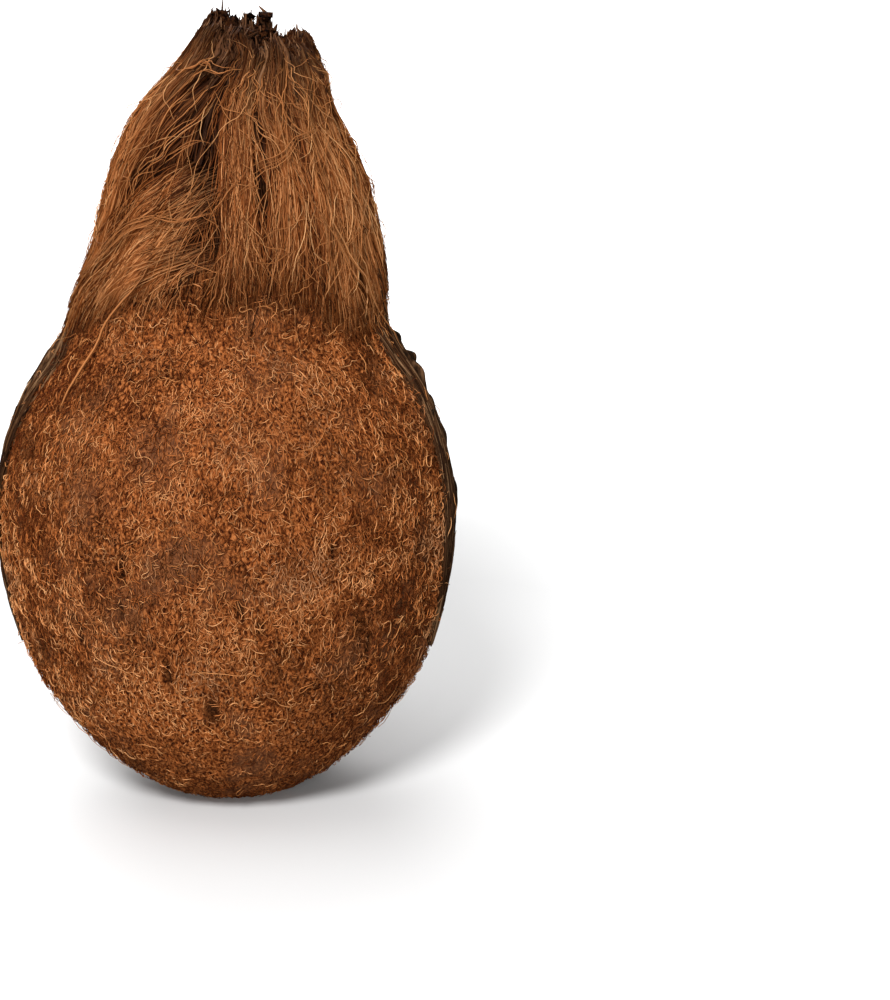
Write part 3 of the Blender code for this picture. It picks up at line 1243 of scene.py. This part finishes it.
@dataclass
class FibreTuft:
    """The long husk fibres, gathered at the torn crown and combed down to a ragged hem on the nut."""

    steps: int = 13
    rim_rag: float = 1.5 * MM
    hem_rag: float = 2.6 * MM
    left_sweep: float = 30.0
    swept: int = 1000
    swept_locks: int = 32
    swept_thickness: float = 0.29 * MM
    swept_levels: tuple[float, float] = (141 * MM, 162 * MM)
    swept_springs: tuple[float, float] = (244.0, 264.0)
    swept_drops: tuple[float, float] = (13 * MM, 30 * MM)

    def build(self, surface: HuskSurface, rng: np.random.Generator) -> list[bpy.types.Object]:
        """Combs each layer of strands down from the crown.

        Args:
            surface: The fruit's surface.
            rng: The source of chance.

        Returns:
            One piece for each layer, and one for the strands that sweep to the left.
        """
        pieces = []
        for layer in LAYERS:
            batch = self._layer(layer, surface, rng)
            pieces.append(strand_piece(layer.name, [batch], layer.finish))
        pieces.append(strand_piece("tuft_swept", [self._swept(surface, rng)], TUFT_FIBRE))
        return pieces

    def _layer(self, layer: TuftLayer, surface: HuskSurface, rng: np.random.Generator) -> Strands:
        """The strands of one layer."""
        count = layer.strands
        share = np.linspace(0, 1, self.steps)
        pitch = 360.0 / layer.locks
        middle = (np.arange(layer.locks) + rng.uniform(-0.35, 0.35, layer.locks)) * pitch
        lock = rng.integers(0, layer.locks, count)
        start = middle[lock]
        own = rng.uniform(-0.62, 0.62, count) * pitch
        top = surface.rim(start + own) - 1.2 * MM - np.abs(rng.normal(0, self.rim_rag, count))
        bottom = surface.hem(start + own) + rng.normal(0, self.hem_rag, count)
        bottom = bottom - rng.exponential(1.5 * MM, count)
        short = rng.random(count) < 0.2
        bottom[short] += rng.uniform(3 * MM, 40 * MM, short.sum())
        height = rows(top) + rows(bottom - top) * share
        width = np.interp(share, (0, 0.25, 0.75, 1), (1.15, layer.gather, 1.0, layer.gather * 1.2))
        azimuth = rows(start) + rows(own) * width + rows(rng.normal(0, 3.6, count)) * share
        azimuth = azimuth + self._sway(count, lock, share, layer, surface, rng)
        azimuth = azimuth - self.left_sweep * rows(self._on_left(start)) * eased(share, 0.02, 0.75)
        if layer.parts:
            azimuth = self._parted(azimuth, height, surface)
        level = rng.uniform(layer.low, layer.high, count)
        bulge = rng.normal(0, 0.3 * MM, layer.locks)[lock]
        body = rows(level + bulge) * np.ones(self.steps)
        landing = rows(0.7 * MM + rng.gamma(1.5, layer.fray, count))
        lift = body + (landing - body) * eased(share, 0.8, 1.0) - surface.dip(azimuth, height)
        lines = surface.place(azimuth, height, lift)
        tones = layer.tone + rng.normal(0, 0.25, count) + rng.normal(0, 0.17, layer.locks)[lock]
        # Painted shade: strands lying deeper in the tuft are darker.
        tones += 0.30 * ((level - layer.low) / (layer.high - layer.low) - 0.5)
        tones += 0.55 * patches(lines[:, self.steps // 2], 11 * MM, 6.0)
        # Painted shade in the hollows under the crown.
        tones -= 0.40 * surface.hollow(azimuth, height).max(1) * layer.parts
        radii = tapered(count, self.steps, layer.thickness * rng.uniform(0.55, 1.25, count), 0.9, 0.4)
        strands = Strands(lines, surface.outward(azimuth, height), radii, tones)
        bare = surface.hollow(azimuth, height).max(1) * layer.parts
        return strands.part(rng.random(count) > 0.94 * eased(bare, 0.1, 0.5))

    def _swept(self, surface: HuskSurface, rng: np.random.Generator) -> Strands:
        """Locks that spring from the tuft's middle and sweep down and round to the left."""
        count = self.swept
        share = np.linspace(0, 1, self.steps)
        lock = rng.integers(0, self.swept_locks, count)
        level = rng.permutation(np.linspace(*self.swept_levels, self.swept_locks))
        spring = rng.uniform(*self.swept_springs, self.swept_locks)
        sweep = rng.normal(30, 6, self.swept_locks)
        drop = rng.uniform(*self.swept_drops, self.swept_locks)
        top = level[lock] + rng.normal(0, 1.5 * MM, count)
        start = spring[lock] + rng.normal(0, 2.5, count)
        fan = sweep[lock] * rng.normal(1.0, 0.18, count)
        fall = drop[lock] * rng.normal(1.0, 0.18, count)
        deepest = top - surface.hem(start - fan) + np.abs(rng.normal(0, 3 * MM, count)) - 1.5 * MM
        fall = np.minimum(fall, np.maximum(deepest, 4 * MM))
        height = rows(top) - rows(fall) * share**1.35
        azimuth = rows(start) - rows(fan) * (1 - (1 - share) ** 1.4)
        wave = waves_along(share, 1.2, rng.uniform(0, math.tau, count))
        azimuth = azimuth + wave * rows(rng.normal(0, 0.8, count))
        body = rows(rng.uniform(-0.6, 0.7, count) * MM + rng.normal(0, 0.25, self.swept_locks)[lock] * MM)
        lift = body + (-1.3 * MM - body) * (1 - eased(share, 0.0, 0.18)) + 0.1 * MM
        lift = lift - surface.dip(azimuth, height) * 0.8
        lines = surface.place(azimuth, height, lift)
        tones = 0.52 + rng.normal(0, 0.25, count) + rng.normal(0, 0.20, self.swept_locks)[lock]
        radii = tapered(count, self.steps, self.swept_thickness * rng.uniform(0.55, 1.2, count), 0.8, 0.4)
        return Strands(lines, surface.outward(azimuth, height), radii, tones)

    def _on_left(self, azimuth: np.ndarray) -> np.ndarray:
        """1 on the tuft's left front, where the strands sweep down and out, and 0 elsewhere."""
        begun = eased(turn_between(azimuth, 195.0), 0.0, 40.0)
        ended = eased(turn_between(azimuth, 243.0), 0.0, 22.0)
        return begun * (1 - ended)

    def _sway(
        self,
        count: int,
        lock: np.ndarray,
        share: np.ndarray,
        layer: TuftLayer,
        surface: HuskSurface,
        rng: np.random.Generator,
    ) -> np.ndarray:
        """How far each point strays round the fruit, in degrees: with its lock, and on its own."""
        sway = np.zeros((count, len(share)))
        for waves, size in ((0.8, 1.5), (1.9, 0.55)):
            phase = rng.uniform(0, math.tau, layer.locks)[lock]
            sway += size * waves_along(share, waves, phase) * rows(rng.normal(1.0, 0.2, count))
        for waves, size in ((1.3, 1.3), (3.1, 0.8), (5.5, 0.42)):
            phase = rng.uniform(0, math.tau, count)
            sway += size * waves_along(share, waves, phase) * rows(rng.normal(0.0, 1.0, count))
        reach = surface.radius(270.0, 150 * MM)
        return sway * np.degrees(layer.sway / reach) * eased(share, -0.1, 0.35)

    def _parted(self, azimuth: np.ndarray, height: np.ndarray, surface: HuskSurface) -> np.ndarray:
        """The azimuths with the strands pushed apart at each parting."""
        for parting in PARTINGS:
            reach = float(surface.radius(parting.azimuth, parting.height))
            push = np.degrees(parting.push / reach)
            away = turn_between(azimuth, parting.azimuth)
            near = np.exp(-(((height - parting.height) / parting.half_length) ** 2))
            closest = np.abs(height - parting.height).argmin(1)
            side = rows(np.sign(np.take_along_axis(away, rows(closest), 1)[:, 0]))
            azimuth = azimuth + side * push * near * np.exp(-np.abs(away) / (1.6 * push))
        return azimuth


@dataclass(frozen=True)
class Stray:
    """A stray strand, laid through a few given places: azimuth, and height and lift in millimetres."""

    places: tuple[tuple[float, float, float], ...]
    thickness: float = 0.45
    tone: float = 0.7
    twins: int = 1


STRAYS = (
    Stray(
        ((269, 157, 1.6), (281, 161, 2.2), (295, 164, 2.4), (310, 168, 2.2), (331, 170, 1.6)),
        thickness=0.42,
        tone=0.75,
        twins=4,
    ),
    Stray(
        ((200, 129, 1.0), (213, 139, 1.8), (229, 147, 2.2), (248, 152, 2.2), (264, 156, 1.6)),
        thickness=0.42,
        tone=0.72,
        twins=5,
    ),
    Stray(((210, 140, 1.2), (231, 148, 2.2), (249, 149, 2.6), (263, 152, 1.4)), 0.45, 0.65, 5),
    Stray(
        ((207, 176, 1.2), (215, 180, 2.0), (226, 183, 2.2), (240, 183, 2.0), (257, 181, 1.4)),
        thickness=0.45,
        tone=0.65,
        twins=5,
    ),
    Stray(((220, 178, 1.2), (235, 182, 2.2), (250, 183, 2.0), (267, 183, 1.2)), 0.4, 0.6, 3),
    Stray(
        ((218, 158, 1.0), (233, 164, 2.2), (243, 169, 2.6), (254, 173, 2.2), (258, 178, 1.2)),
        thickness=0.45,
        tone=0.7,
        twins=4,
    ),
    Stray(((231, 160, 1.0), (241, 164, 2.0), (252, 167, 2.0), (264, 167, 1.2)), 0.45, 0.6, 3),
    Stray(
        ((298, 181, 1.2), (310, 180, 2.0), (320, 178, 2.4), (331, 178, 2.0), (340, 180, 1.2)),
        thickness=0.4,
        tone=0.65,
        twins=2,
    ),
    Stray(
        ((312, 150, 1.4), (315, 146, 2.0), (327, 134, 2.4), (342, 121, 2.0), (351, 112, 1.2)),
        thickness=0.55,
        tone=0.75,
        twins=3,
    ),
    Stray(((308, 148, 1.4), (312, 142, 2.0), (323, 131, 2.2), (338, 119, 1.4)), 0.5, 0.6, 3),
    Stray(
        ((237, 138, 1.2), (231, 130, 2.4), (225, 122, 1.8), (221, 111, 1.4), (219, 104, 0.8)),
        thickness=1.15,
        tone=0.85,
        twins=1,
    ),
    Stray(((266, 141, 1.0), (266, 134, 1.6), (262, 128, 1.0)), 0.5, 0.7, 2),
    Stray(((270, 139, 1.0), (270, 134, 1.8), (271, 129, 1.2)), 0.45, 0.6, 3),
    Stray(((274, 137, 1.0), (276, 134, 1.6), (278, 131, 1.0)), 0.5, 0.65, 1),
    Stray(((275, 138, 1.0), (279, 129, 1.8), (280, 123, 1.0)), 0.5, 0.7, 1),
    Stray(((254, 138, 1.0), (251, 131, 1.6), (247, 127, 0.8)), 0.45, 0.6, 3),
)
NUT_STRAYS = (
    Stray(
        ((262, 45, 0.6), (266, 45.6, 1.2), (270, 45.6, 1.3), (275, 45.2, 1.2), (279, 45, 0.6)),
        thickness=0.34,
        tone=0.8,
        twins=1,
    ),
    Stray(((272, 45.4, 0.9), (273, 42, 1.2), (274, 38, 0.6)), 0.3, 0.75, 1),
    Stray(((279, 50, 0.6), (279, 46, 1.2), (278, 41, 0.6)), 0.3, 0.75, 1),
    Stray(((264, 31, 0.6), (268, 29, 1.2), (271, 25.5, 0.9), (273, 24, 0.5)), 0.34, 0.75, 1),
    Stray(
        ((231, 64, 0.5), (234, 62, 1.0), (237, 57, 1.1), (239, 53, 0.8), (238, 50, 0.4)),
        thickness=0.32,
        tone=0.7,
        twins=1,
    ),
    Stray(((289, 100, 0.6), (293, 99, 1.3), (297, 100, 1.3), (300, 103, 0.6)), 0.36, 0.65, 2),
    Stray(((315, 87, 0.6), (318, 90, 1.4), (323, 91, 1.5), (327, 88, 0.8)), 0.34, 0.7, 2),
)


@dataclass
class StrayStrands:
    """Strands that lie across the others: some laid through given places, and the rest by chance."""

    steps: int = 18
    loose: int = 900
    loose_thickness: float = 0.24 * MM
    twin_gap: float = 1.9

    def build(self, surface: HuskSurface, rng: np.random.Generator) -> list[bpy.types.Object]:
        """Lays the strays of the tuft and of the nut.

        Args:
            surface: The fruit's surface.
            rng: The source of chance.

        Returns:
            The two pieces.
        """
        tuft = [self._laid(stray, surface, rng) for stray in STRAYS] + [self._loose(surface, rng)]
        nut = [self._laid(stray, surface, rng) for stray in NUT_STRAYS]
        return [
            strand_piece("tuft_strays", tuft, TUFT_HAIR),
            strand_piece("nut_strays", nut, NUT_HAIR),
        ]

    def _laid(self, stray: Stray, surface: HuskSurface, rng: np.random.Generator) -> Strands:
        """A stray and its twins, through the places given for it."""
        places = np.array(stray.places, float)
        knots = np.linspace(0, 1, len(places))
        lines, outward = [], []
        for number in range(stray.twins):
            ends = (0.0, 1.0) if number == 0 else (rng.uniform(0, 0.4), rng.uniform(0.6, 1.0))
            share = np.linspace(*ends, self.steps)
            smooth = smoothed(knots, places, share)
            shift = rng.normal(0, self.twin_gap, 2) * (stray.twins > 1)
            phase = rng.uniform(0, math.tau, 2)
            wave = np.sin(math.tau * 1.1 * share + phase[0]) * 0.5
            wave = wave + np.sin(math.tau * 2.7 * share + phase[1]) * 0.25
            azimuth = smooth[:, 0] + shift[0] * share + wave * 0.4
            height = (smooth[:, 1] + shift[1] * (1 - share) + wave * 0.3) * MM
            lines.append(surface.place(azimuth, height, smooth[:, 2] * rng.uniform(0.5, 1.0) * MM))
            outward.append(surface.outward(azimuth, height))
        thickness = stray.thickness * MM * rng.uniform(0.42, 0.72, stray.twins)
        radii = tapered(stray.twins, self.steps, thickness, 0.6, 0.35)
        tones = stray.tone - 0.35 + rng.normal(0, 0.18, stray.twins)
        return Strands(np.array(lines), np.array(outward), radii, tones)

    def _loose(self, surface: HuskSurface, rng: np.random.Generator) -> Strands:
        """Strays by chance all over the tuft, most of them steep."""
        count = self.loose
        share = np.linspace(0, 1, self.steps)
        azimuth = rng.uniform(0, 360, count)
        height = rng.uniform(134 * MM, 182 * MM, count)
        length = rng.gamma(2.5, 4 * MM, count) + 4 * MM
        slant = rng.normal(0, 0.55, count) - 0.5 * eased(np.abs(turn_between(azimuth, 225.0)), 40.0, 20.0)
        flip = rng.random(count) < 0.16
        slant[flip] = rng.uniform(-1.5, 1.5, flip.sum())
        angle = rows(slant)
        for waves, size in ((0.9, 0.25), (2.3, 0.15)):
            turn = waves_along(share, waves, rng.uniform(0, math.tau, count))
            angle = angle + turn * rows(rng.normal(0, size, count))
        step = rows(length / (self.steps - 1))
        reach = rows(surface.radius(azimuth, height))
        azimuths = rows(azimuth) + np.degrees(np.cumsum(np.sin(angle) * step, axis=1) / reach)
        heights = rows(height) - np.cumsum(np.cos(angle) * step, axis=1) + rows(length / 2)
        heights = heights - np.maximum(heights.max(1) - surface.rim(azimuth) + 1.5 * MM, 0)[:, None]
        lift = 0.2 * MM + rows(rng.gamma(1.8, 0.42, count) * MM) * np.sin(math.pi * share)
        lines = surface.place(azimuths, heights, lift - 0.7 * surface.dip(azimuths, heights))
        thickness = self.loose_thickness * rng.uniform(0.6, 1.2, count)
        radii = tapered(count, self.steps, thickness, 0.6, 0.35)
        strands = Strands(lines, surface.outward(azimuths, heights), radii, rng.beta(1.6, 2.8, count))
        return strands.part(rng.random(count) > 0.7 * surface.hollow(azimuths, heights).max(1))


def smoothed(knots: np.ndarray, places: np.ndarray, share: np.ndarray) -> np.ndarray:
    """Reads a smooth curve through places.

    Args:
        knots: Where each place lies along the curve, from 0 to 1.
        places: The places, one row each.
        share: Where to read the curve.

    Returns:
        One row for each share.
    """
    slopes = np.gradient(places, knots, axis=0)
    before = np.clip(np.searchsorted(knots, share, side="right") - 1, 0, len(knots) - 2)
    gap = knots[before + 1] - knots[before]
    part = rows((share - knots[before]) / gap)
    gap = rows(gap)
    first = (1 + 2 * part) * (1 - part) ** 2 * places[before]
    first = first + part**2 * (3 - 2 * part) * places[before + 1]
    second = part * (1 - part) ** 2 * slopes[before] - part**2 * (1 - part) * slopes[before + 1]
    return first + second * gap


# ----------------------------------------------------------------------------------------------------
# The seams and the crown
# ----------------------------------------------------------------------------------------------------


@dataclass(frozen=True)
class SeamCourse:
    """Where one seam of husk skin runs down the nut, and how far its edge stands off as a torn flap."""

    name: str
    azimuth: float
    top: float
    bottom: float
    width: float
    flap: float


COURSES = (
    SeamCourse("left", 190, 0.1245, 0.040, 17 * MM, -0.4 * MM),
    SeamCourse("right", 346, 0.1285, 0.040, 12 * MM, 2.3 * MM),
    SeamCourse("back", 90, 0.1225, 0.046, 11 * MM, 1.0 * MM),
)


@dataclass
class HuskSeam:
    """A strip of dark husk skin left along one of the nut's three seams, with coarse fibres over it."""

    course: SeamCourse
    across: int = 26
    along: int = 150
    proud: float = 0.9 * MM
    thickness: float = 1.2 * MM
    tear: float = 0.35
    groove_depth: float = 0.6 * MM
    drift: float = 2.5
    drift_pace: float = 5.0
    fibres: int = 620
    steps: int = 10

    def build(self, surface: HuskSurface, rng: np.random.Generator) -> list[bpy.types.Object]:
        """Models the strip and lays its fibres.

        Args:
            surface: The fruit's surface.
            rng: The source of chance.

        Returns:
            The strip and its fibres.
        """
        return [self._strip(surface), self._fibres(surface, rng)]

    def _place(
        self, side: np.ndarray, share: np.ndarray, surface: HuskSurface
    ) -> tuple[np.ndarray, np.ndarray]:
        """Azimuth and height of places on the strip, from -1 to 1 across it and 0 to 1 down it."""
        course = self.course
        height = course.top + (course.bottom - course.top) * share
        drift = self.drift * np.sin(share * self.drift_pace + course.azimuth)
        taper = np.interp(share, (0, 0.12, 0.6, 1), (0.45, 1.0, 0.8, 0.15))
        reach = surface.radius(course.azimuth, height)
        return course.azimuth + drift + np.degrees(side * taper * course.width / 2 / reach), height

    def _strip(self, surface: HuskSurface) -> bpy.types.Object:
        """The strip itself: a grid laid on the nut, ridged lengthwise, torn at its edges and thickened."""
        bpy.ops.object.select_all(action="DESELECT")
        bpy.ops.mesh.primitive_grid_add(x_subdivisions=self.across, y_subdivisions=self.along, size=2.0)
        strip = bpy.context.object
        strip.name = strip.data.name = f"seam_skin_{self.course.name}"
        mesh = strip.data
        flat = points_of(mesh)
        side, share = flat[:, 0], (1 - flat[:, 1]) / 2
        torn_by = patches(np.stack((np.sign(side) * 3, share * 16, side * 0), axis=-1), 1.0, 2.0)
        ragged = 1 + self.tear * torn_by
        azimuth, height = self._place(side * np.where(np.abs(side) > 0.6, ragged, 1.0), share, surface)
        ridged = np.stack((side * 5.5, share * 5, side * 0 + self.course.azimuth), axis=-1)
        ridges = patches(ridged, 1.0, 3.0)
        edge = 1 - eased(np.abs(side), 0.72, 1.0)
        lift = (self.proud * 2.0 * ridges - 0.1 * MM) * edge - 0.6 * MM * (1 - edge)
        lift = lift - surface.dip(azimuth, height)
        groove = np.exp(-(((side + 0.15) / 0.22) ** 2))
        torn = np.exp(-(((share - 0.22) / 0.10) ** 2)) + 0.4 * np.exp(-(((share - 0.5) / 0.2) ** 2))
        flake = 1 + 1.2 * patches(np.stack((side * 2, share * 26, side * 0), axis=-1), 1.0, 6.0)
        torn = torn * flake * eased(side * np.sign(self.course.flap), 0.1, 0.9)
        lift += self.course.flap * torn - self.groove_depth * groove
        mesh.vertices.foreach_set("co", surface.place(azimuth, height, lift).ravel())
        # Painted light and shade along the raised ridges, painted shade in the groove, and darker on the
        # torn flap.
        shade = np.clip(0.78 + 1.2 * ridges - 0.6 * groove - 0.5 * np.clip(torn, 0, 1), 0.10, 1.1)
        shade_points(mesh, shade)
        mesh.update()
        self._thickened(strip, surface)
        mesh.shade_smooth()
        return dressed(strip, SEAM_BARK)

    def _thickened(self, strip: bpy.types.Object, surface: HuskSurface) -> None:
        """Gives the open strip its thickness, inwards from the outer face."""
        bpy.ops.object.mode_set(mode="EDIT")
        bpy.ops.mesh.select_all(action="SELECT")
        bpy.ops.mesh.normals_make_consistent(inside=False)
        bpy.ops.object.mode_set(mode="OBJECT")
        self._face_outwards(strip, surface)
        thick = strip.modifiers.new("thickness", "SOLIDIFY")
        thick.thickness = self.thickness
        thick.offset = -1.0
        bpy.ops.object.modifier_apply(modifier=thick.name)

    def _face_outwards(self, strip: bpy.types.Object, surface: HuskSurface) -> None:
        """Turns the open strip's faces so that they look away from the nut."""
        face = strip.data.polygons[len(strip.data.polygons) // 2]
        place = np.array(face.center)
        outward = surface.outward(surface.azimuth_of(place), place[2])
        if np.dot(outward, face.normal) < 0:
            strip.data.flip_normals()

    def _fibres(self, surface: HuskSurface, rng: np.random.Generator) -> bpy.types.Object:
        """Coarse fibres along the strip, and a few that lie beside it."""
        count = self.fibres
        side = rng.uniform(-1.2, 1.2, count)
        middle = rng.beta(1.1, 1.3, count)
        reach = rng.uniform(0.05, 0.24, count)
        share = np.clip(rows(middle) + rows(reach) * (np.linspace(0, 1, self.steps) - 0.5), -0.06, 1.0)
        phase = rng.uniform(0, math.tau, count)
        sides = rows(side) + 0.10 * np.sin(share * 14 + rows(phase))
        sides = sides + 0.05 * np.sin(share * 37 + rows(phase * 2))
        azimuth, height = self._place(sides, share, surface)
        ends = np.abs(np.linspace(-1, 1, self.steps)) ** 4
        lift = rows(rng.uniform(-0.4, 0.8, count) * self.proud)
        lift = lift - ends * rows(rng.uniform(-0.3, 0.9, count)) * MM
        lift = lift - surface.dip(azimuth, height)
        lines = surface.place(azimuth, height, lift)
        radii = tapered(count, self.steps, rng.uniform(0.22, 0.6, count) * MM, 0.5, 0.3)
        tones = rng.beta(1.5, 2.4, count)
        batch = Strands(lines, surface.outward(azimuth, height), radii, tones)
        return strand_piece(f"seam_fibres_{self.course.name}", [batch], SKIN_FIBRE)


@dataclass
class TornCrown:
    """The broken end of the husk: dark splinters round the rim and short stubs that fill its hollow."""

    splinters: int = 560
    stubs: int = 520
    tall_share: float = 0.04
    steps: int = 6

    def build(self, surface: HuskSurface, rng: np.random.Generator) -> bpy.types.Object:
        """Sets the splinters round the rim and the stubs inside it.

        Args:
            surface: The fruit's surface.
            rng: The source of chance.

        Returns:
            The crown's object.
        """
        batches = [self._rim(surface, rng), self._middle(surface, rng)]
        return strand_piece("torn_crown", batches, CROWN_WOOD)

    def _rim(self, surface: HuskSurface, rng: np.random.Generator) -> Strands:
        """Splinters that stand up out of the rim."""
        count = self.splinters
        share = np.linspace(0, 1, self.steps)
        azimuth = rng.uniform(0, 360, count)
        tall = rng.random(count) < self.tall_share
        high, low = rng.uniform(0.2 * MM, 1.2 * MM, count), rng.normal(-1.2 * MM, 0.9 * MM, count)
        rise = np.where(tall, high, low)
        top = np.minimum(surface.rim(azimuth) + rise, surface.top - 0.2 * MM)
        height = rows(top) - rows(rng.uniform(4 * MM, 12 * MM, count)) * (1 - share)
        azimuths = rows(azimuth) + rows(rng.normal(0, 6, count)) * share
        lift = rows(rng.uniform(-1.4 * MM, 0.25 * MM, count))
        lift = lift - rows(rng.uniform(0, 0.8 * MM, count)) * share
        lines = surface.place(azimuths, height, lift)
        thickness = np.where(tall, rng.uniform(1.2, 2.2, count), rng.uniform(0.3, 0.8, count)) * MM
        radii = tapered(count, self.steps, thickness, 1.0, 0.22)
        return Strands(lines, surface.outward(azimuths, height), radii, rng.beta(1.4, 2.6, count))

    def _middle(self, surface: HuskSurface, rng: np.random.Generator) -> Strands:
        """Stubs inside the rim."""
        count = self.stubs
        share = np.linspace(0, 1, self.steps)
        azimuth = rng.uniform(0, 360, count)
        inward = np.sqrt(rng.random(count))
        top = surface.rim(azimuth) - 3.2 * MM * (1 - inward) + rng.normal(-0.9 * MM, 0.9 * MM, count)
        rim = surface.place(azimuth, surface.rim(azimuth) - 2 * MM)
        centre = rim[:, :2].mean(0)
        spot = centre + (rim[:, :2] - centre) * rows(inward) * 0.92
        z = rows(top) - 9 * MM * (1 - share)
        tilt = rng.normal(0, 0.9 * MM, (count, 2))
        xy = spot[:, None] + tilt[:, None] * (share - 0.5)[:, None]
        lines = np.concatenate((xy, z[..., None]), axis=-1)
        outward = np.broadcast_to((0.0, -1.0, 0.0), lines.shape)
        radii = tapered(count, self.steps, rng.uniform(0.35, 0.8, count) * MM, 1.0, 0.4)
        return Strands(lines, outward, radii, rng.beta(1.4, 2.6, count))


# ----------------------------------------------------------------------------------------------------
# The studio
# ----------------------------------------------------------------------------------------------------


@dataclass(frozen=True)
class SoftBox:
    """A soft studio light, and the place it looks at."""

    name: str
    place: tuple[float, float, float]
    size: float
    power: float
    target: tuple[float, float, float] = (0.0, 0.0, 0.09)


@dataclass
class Studio:
    """A pale floor, soft light and a camera that looks down at the fruit a little."""

    elevation: float = math.radians(16)
    distance: float = 0.9
    lens: float = 130.6
    side_step: float = 0.48
    aim_height: float = 0.374
    ambient: float = 0.36
    floor_size: float = 8.0
    floor_pale: float = 0.72
    floor_bounce: float = 0.16
    fade: tuple[float, float] = (0.18, 0.70)
    boxes: tuple[SoftBox, ...] = (
        SoftBox("key", (-0.20, -1.05, 0.90), 0.35, 20.0),
        SoftBox("fill", (-0.05, -1.35, 0.12), 0.9, 14.0),
        SoftBox("top", (-0.45, -0.10, 1.50), 1.3, 7.0),
        SoftBox("rim", (-0.10, 0.90, 1.30), 1.1, 6.0),
        SoftBox("back", (-0.60, 2.00, 1.20), 1.6, 28.0),
    )

    def build(self) -> None:
        """Sets up the floor, the light and the camera."""
        low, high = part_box(NODE)
        size = high - low
        aim = Vector((self.side_step * size.x, 0.0, self.aim_height * size.z))
        self._floor()
        self._lights()
        self._sky()
        self._camera(aim)
        bpy.context.scene.view_settings.view_transform = "Standard"

    def _floor(self) -> None:
        """Lays a plain floor, which fades out to white some way from the fruit."""
        bpy.ops.object.select_all(action="DESELECT")
        bpy.ops.mesh.primitive_plane_add(size=self.floor_size)
        floor = bpy.context.object
        floor.name = "studio_floor"
        material, tree, shader = new_material("pale_floor", Roughness=0.9)
        path = add_node(tree, "ShaderNodeLightPath")
        pale, dim = (*[self.floor_pale] * 3, 1.0), (*[self.floor_bounce] * 3, 1.0)
        colour = mixed(tree, "MIX", path.outputs["Is Camera Ray"], dim, pale)
        tree.links.new(colour, shader.inputs["Base Color"])
        place = add_node(tree, "ShaderNodeTexCoord")
        away = add_node(tree, "ShaderNodeVectorMath", operation="LENGTH")
        tree.links.new(place.outputs["Object"], away.inputs[0])
        glow = add_node(tree, "ShaderNodeMath", operation="MULTIPLY")
        tree.links.new(span(tree, away.outputs["Value"], *self.fade, 0.0, 1.0), glow.inputs[0])
        tree.links.new(path.outputs["Is Camera Ray"], glow.inputs[1])
        shader.inputs["Emission Color"].default_value = (1.0, 1.0, 1.0, 1.0)
        tree.links.new(glow.outputs["Value"], shader.inputs["Emission Strength"])
        floor.data.materials.append(material)

    def _lights(self) -> None:
        """Hangs the soft boxes."""
        for box in self.boxes:
            lamp = bpy.data.lights.new(box.name, "AREA")
            lamp.shape = "DISK"
            lamp.size = box.size
            lamp.energy = box.power
            light = bpy.data.objects.new(box.name, lamp)
            light.location = box.place
            light.rotation_euler = (Vector(box.target) - light.location).to_track_quat("-Z", "Y").to_euler()
            bpy.context.scene.collection.objects.link(light)

    def _sky(self) -> None:
        """Surrounds the fruit with an even white light."""
        world = bpy.data.worlds.new("white_room")
        world.use_nodes = True
        tree = world.node_tree
        path = add_node(tree, "ShaderNodeLightPath")
        strength = span(tree, path.outputs["Is Camera Ray"], 0, 1, self.ambient, 1.2)
        background = tree.nodes["Background"]
        background.inputs["Color"].default_value = (1.0, 1.0, 1.0, 1.0)
        tree.links.new(strength, background.inputs["Strength"])
        bpy.context.scene.world = world

    def _camera(self, aim: Vector) -> None:
        """Sets the camera in front of the fruit, looking down at it."""
        view = bpy.data.cameras.new("camera")
        view.lens = self.lens
        view.clip_start = 0.01
        camera = bpy.data.objects.new("camera", view)
        back = Vector((0.0, -math.cos(self.elevation), math.sin(self.elevation)))
        camera.location = aim + back * self.distance
        camera.rotation_euler = (math.pi / 2 - self.elevation, 0.0, 0.0)
        bpy.context.scene.collection.objects.link(camera)
        bpy.context.scene.camera = camera


def main() -> None:
    """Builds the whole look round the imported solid."""
    logging.basicConfig(level=logging.INFO, format="%(name)s: %(message)s")
    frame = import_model()
    solid = frame["nodes"][NODE]
    surface = HuskSurface(solid)
    NutGround().build(surface, solid)
    FibreMat().build(surface, np.random.default_rng(11))
    CurlyHairs().build(surface, np.random.default_rng(12))
    FibreTuft().build(surface, np.random.default_rng(13))
    StrayStrands().build(surface, np.random.default_rng(14))
    for number, course in enumerate(COURSES):
        HuskSeam(course).build(surface, np.random.default_rng(20 + number))
    TornCrown().build(surface, np.random.default_rng(15))
    Studio().build()


if __name__ == "__main__":
    main()
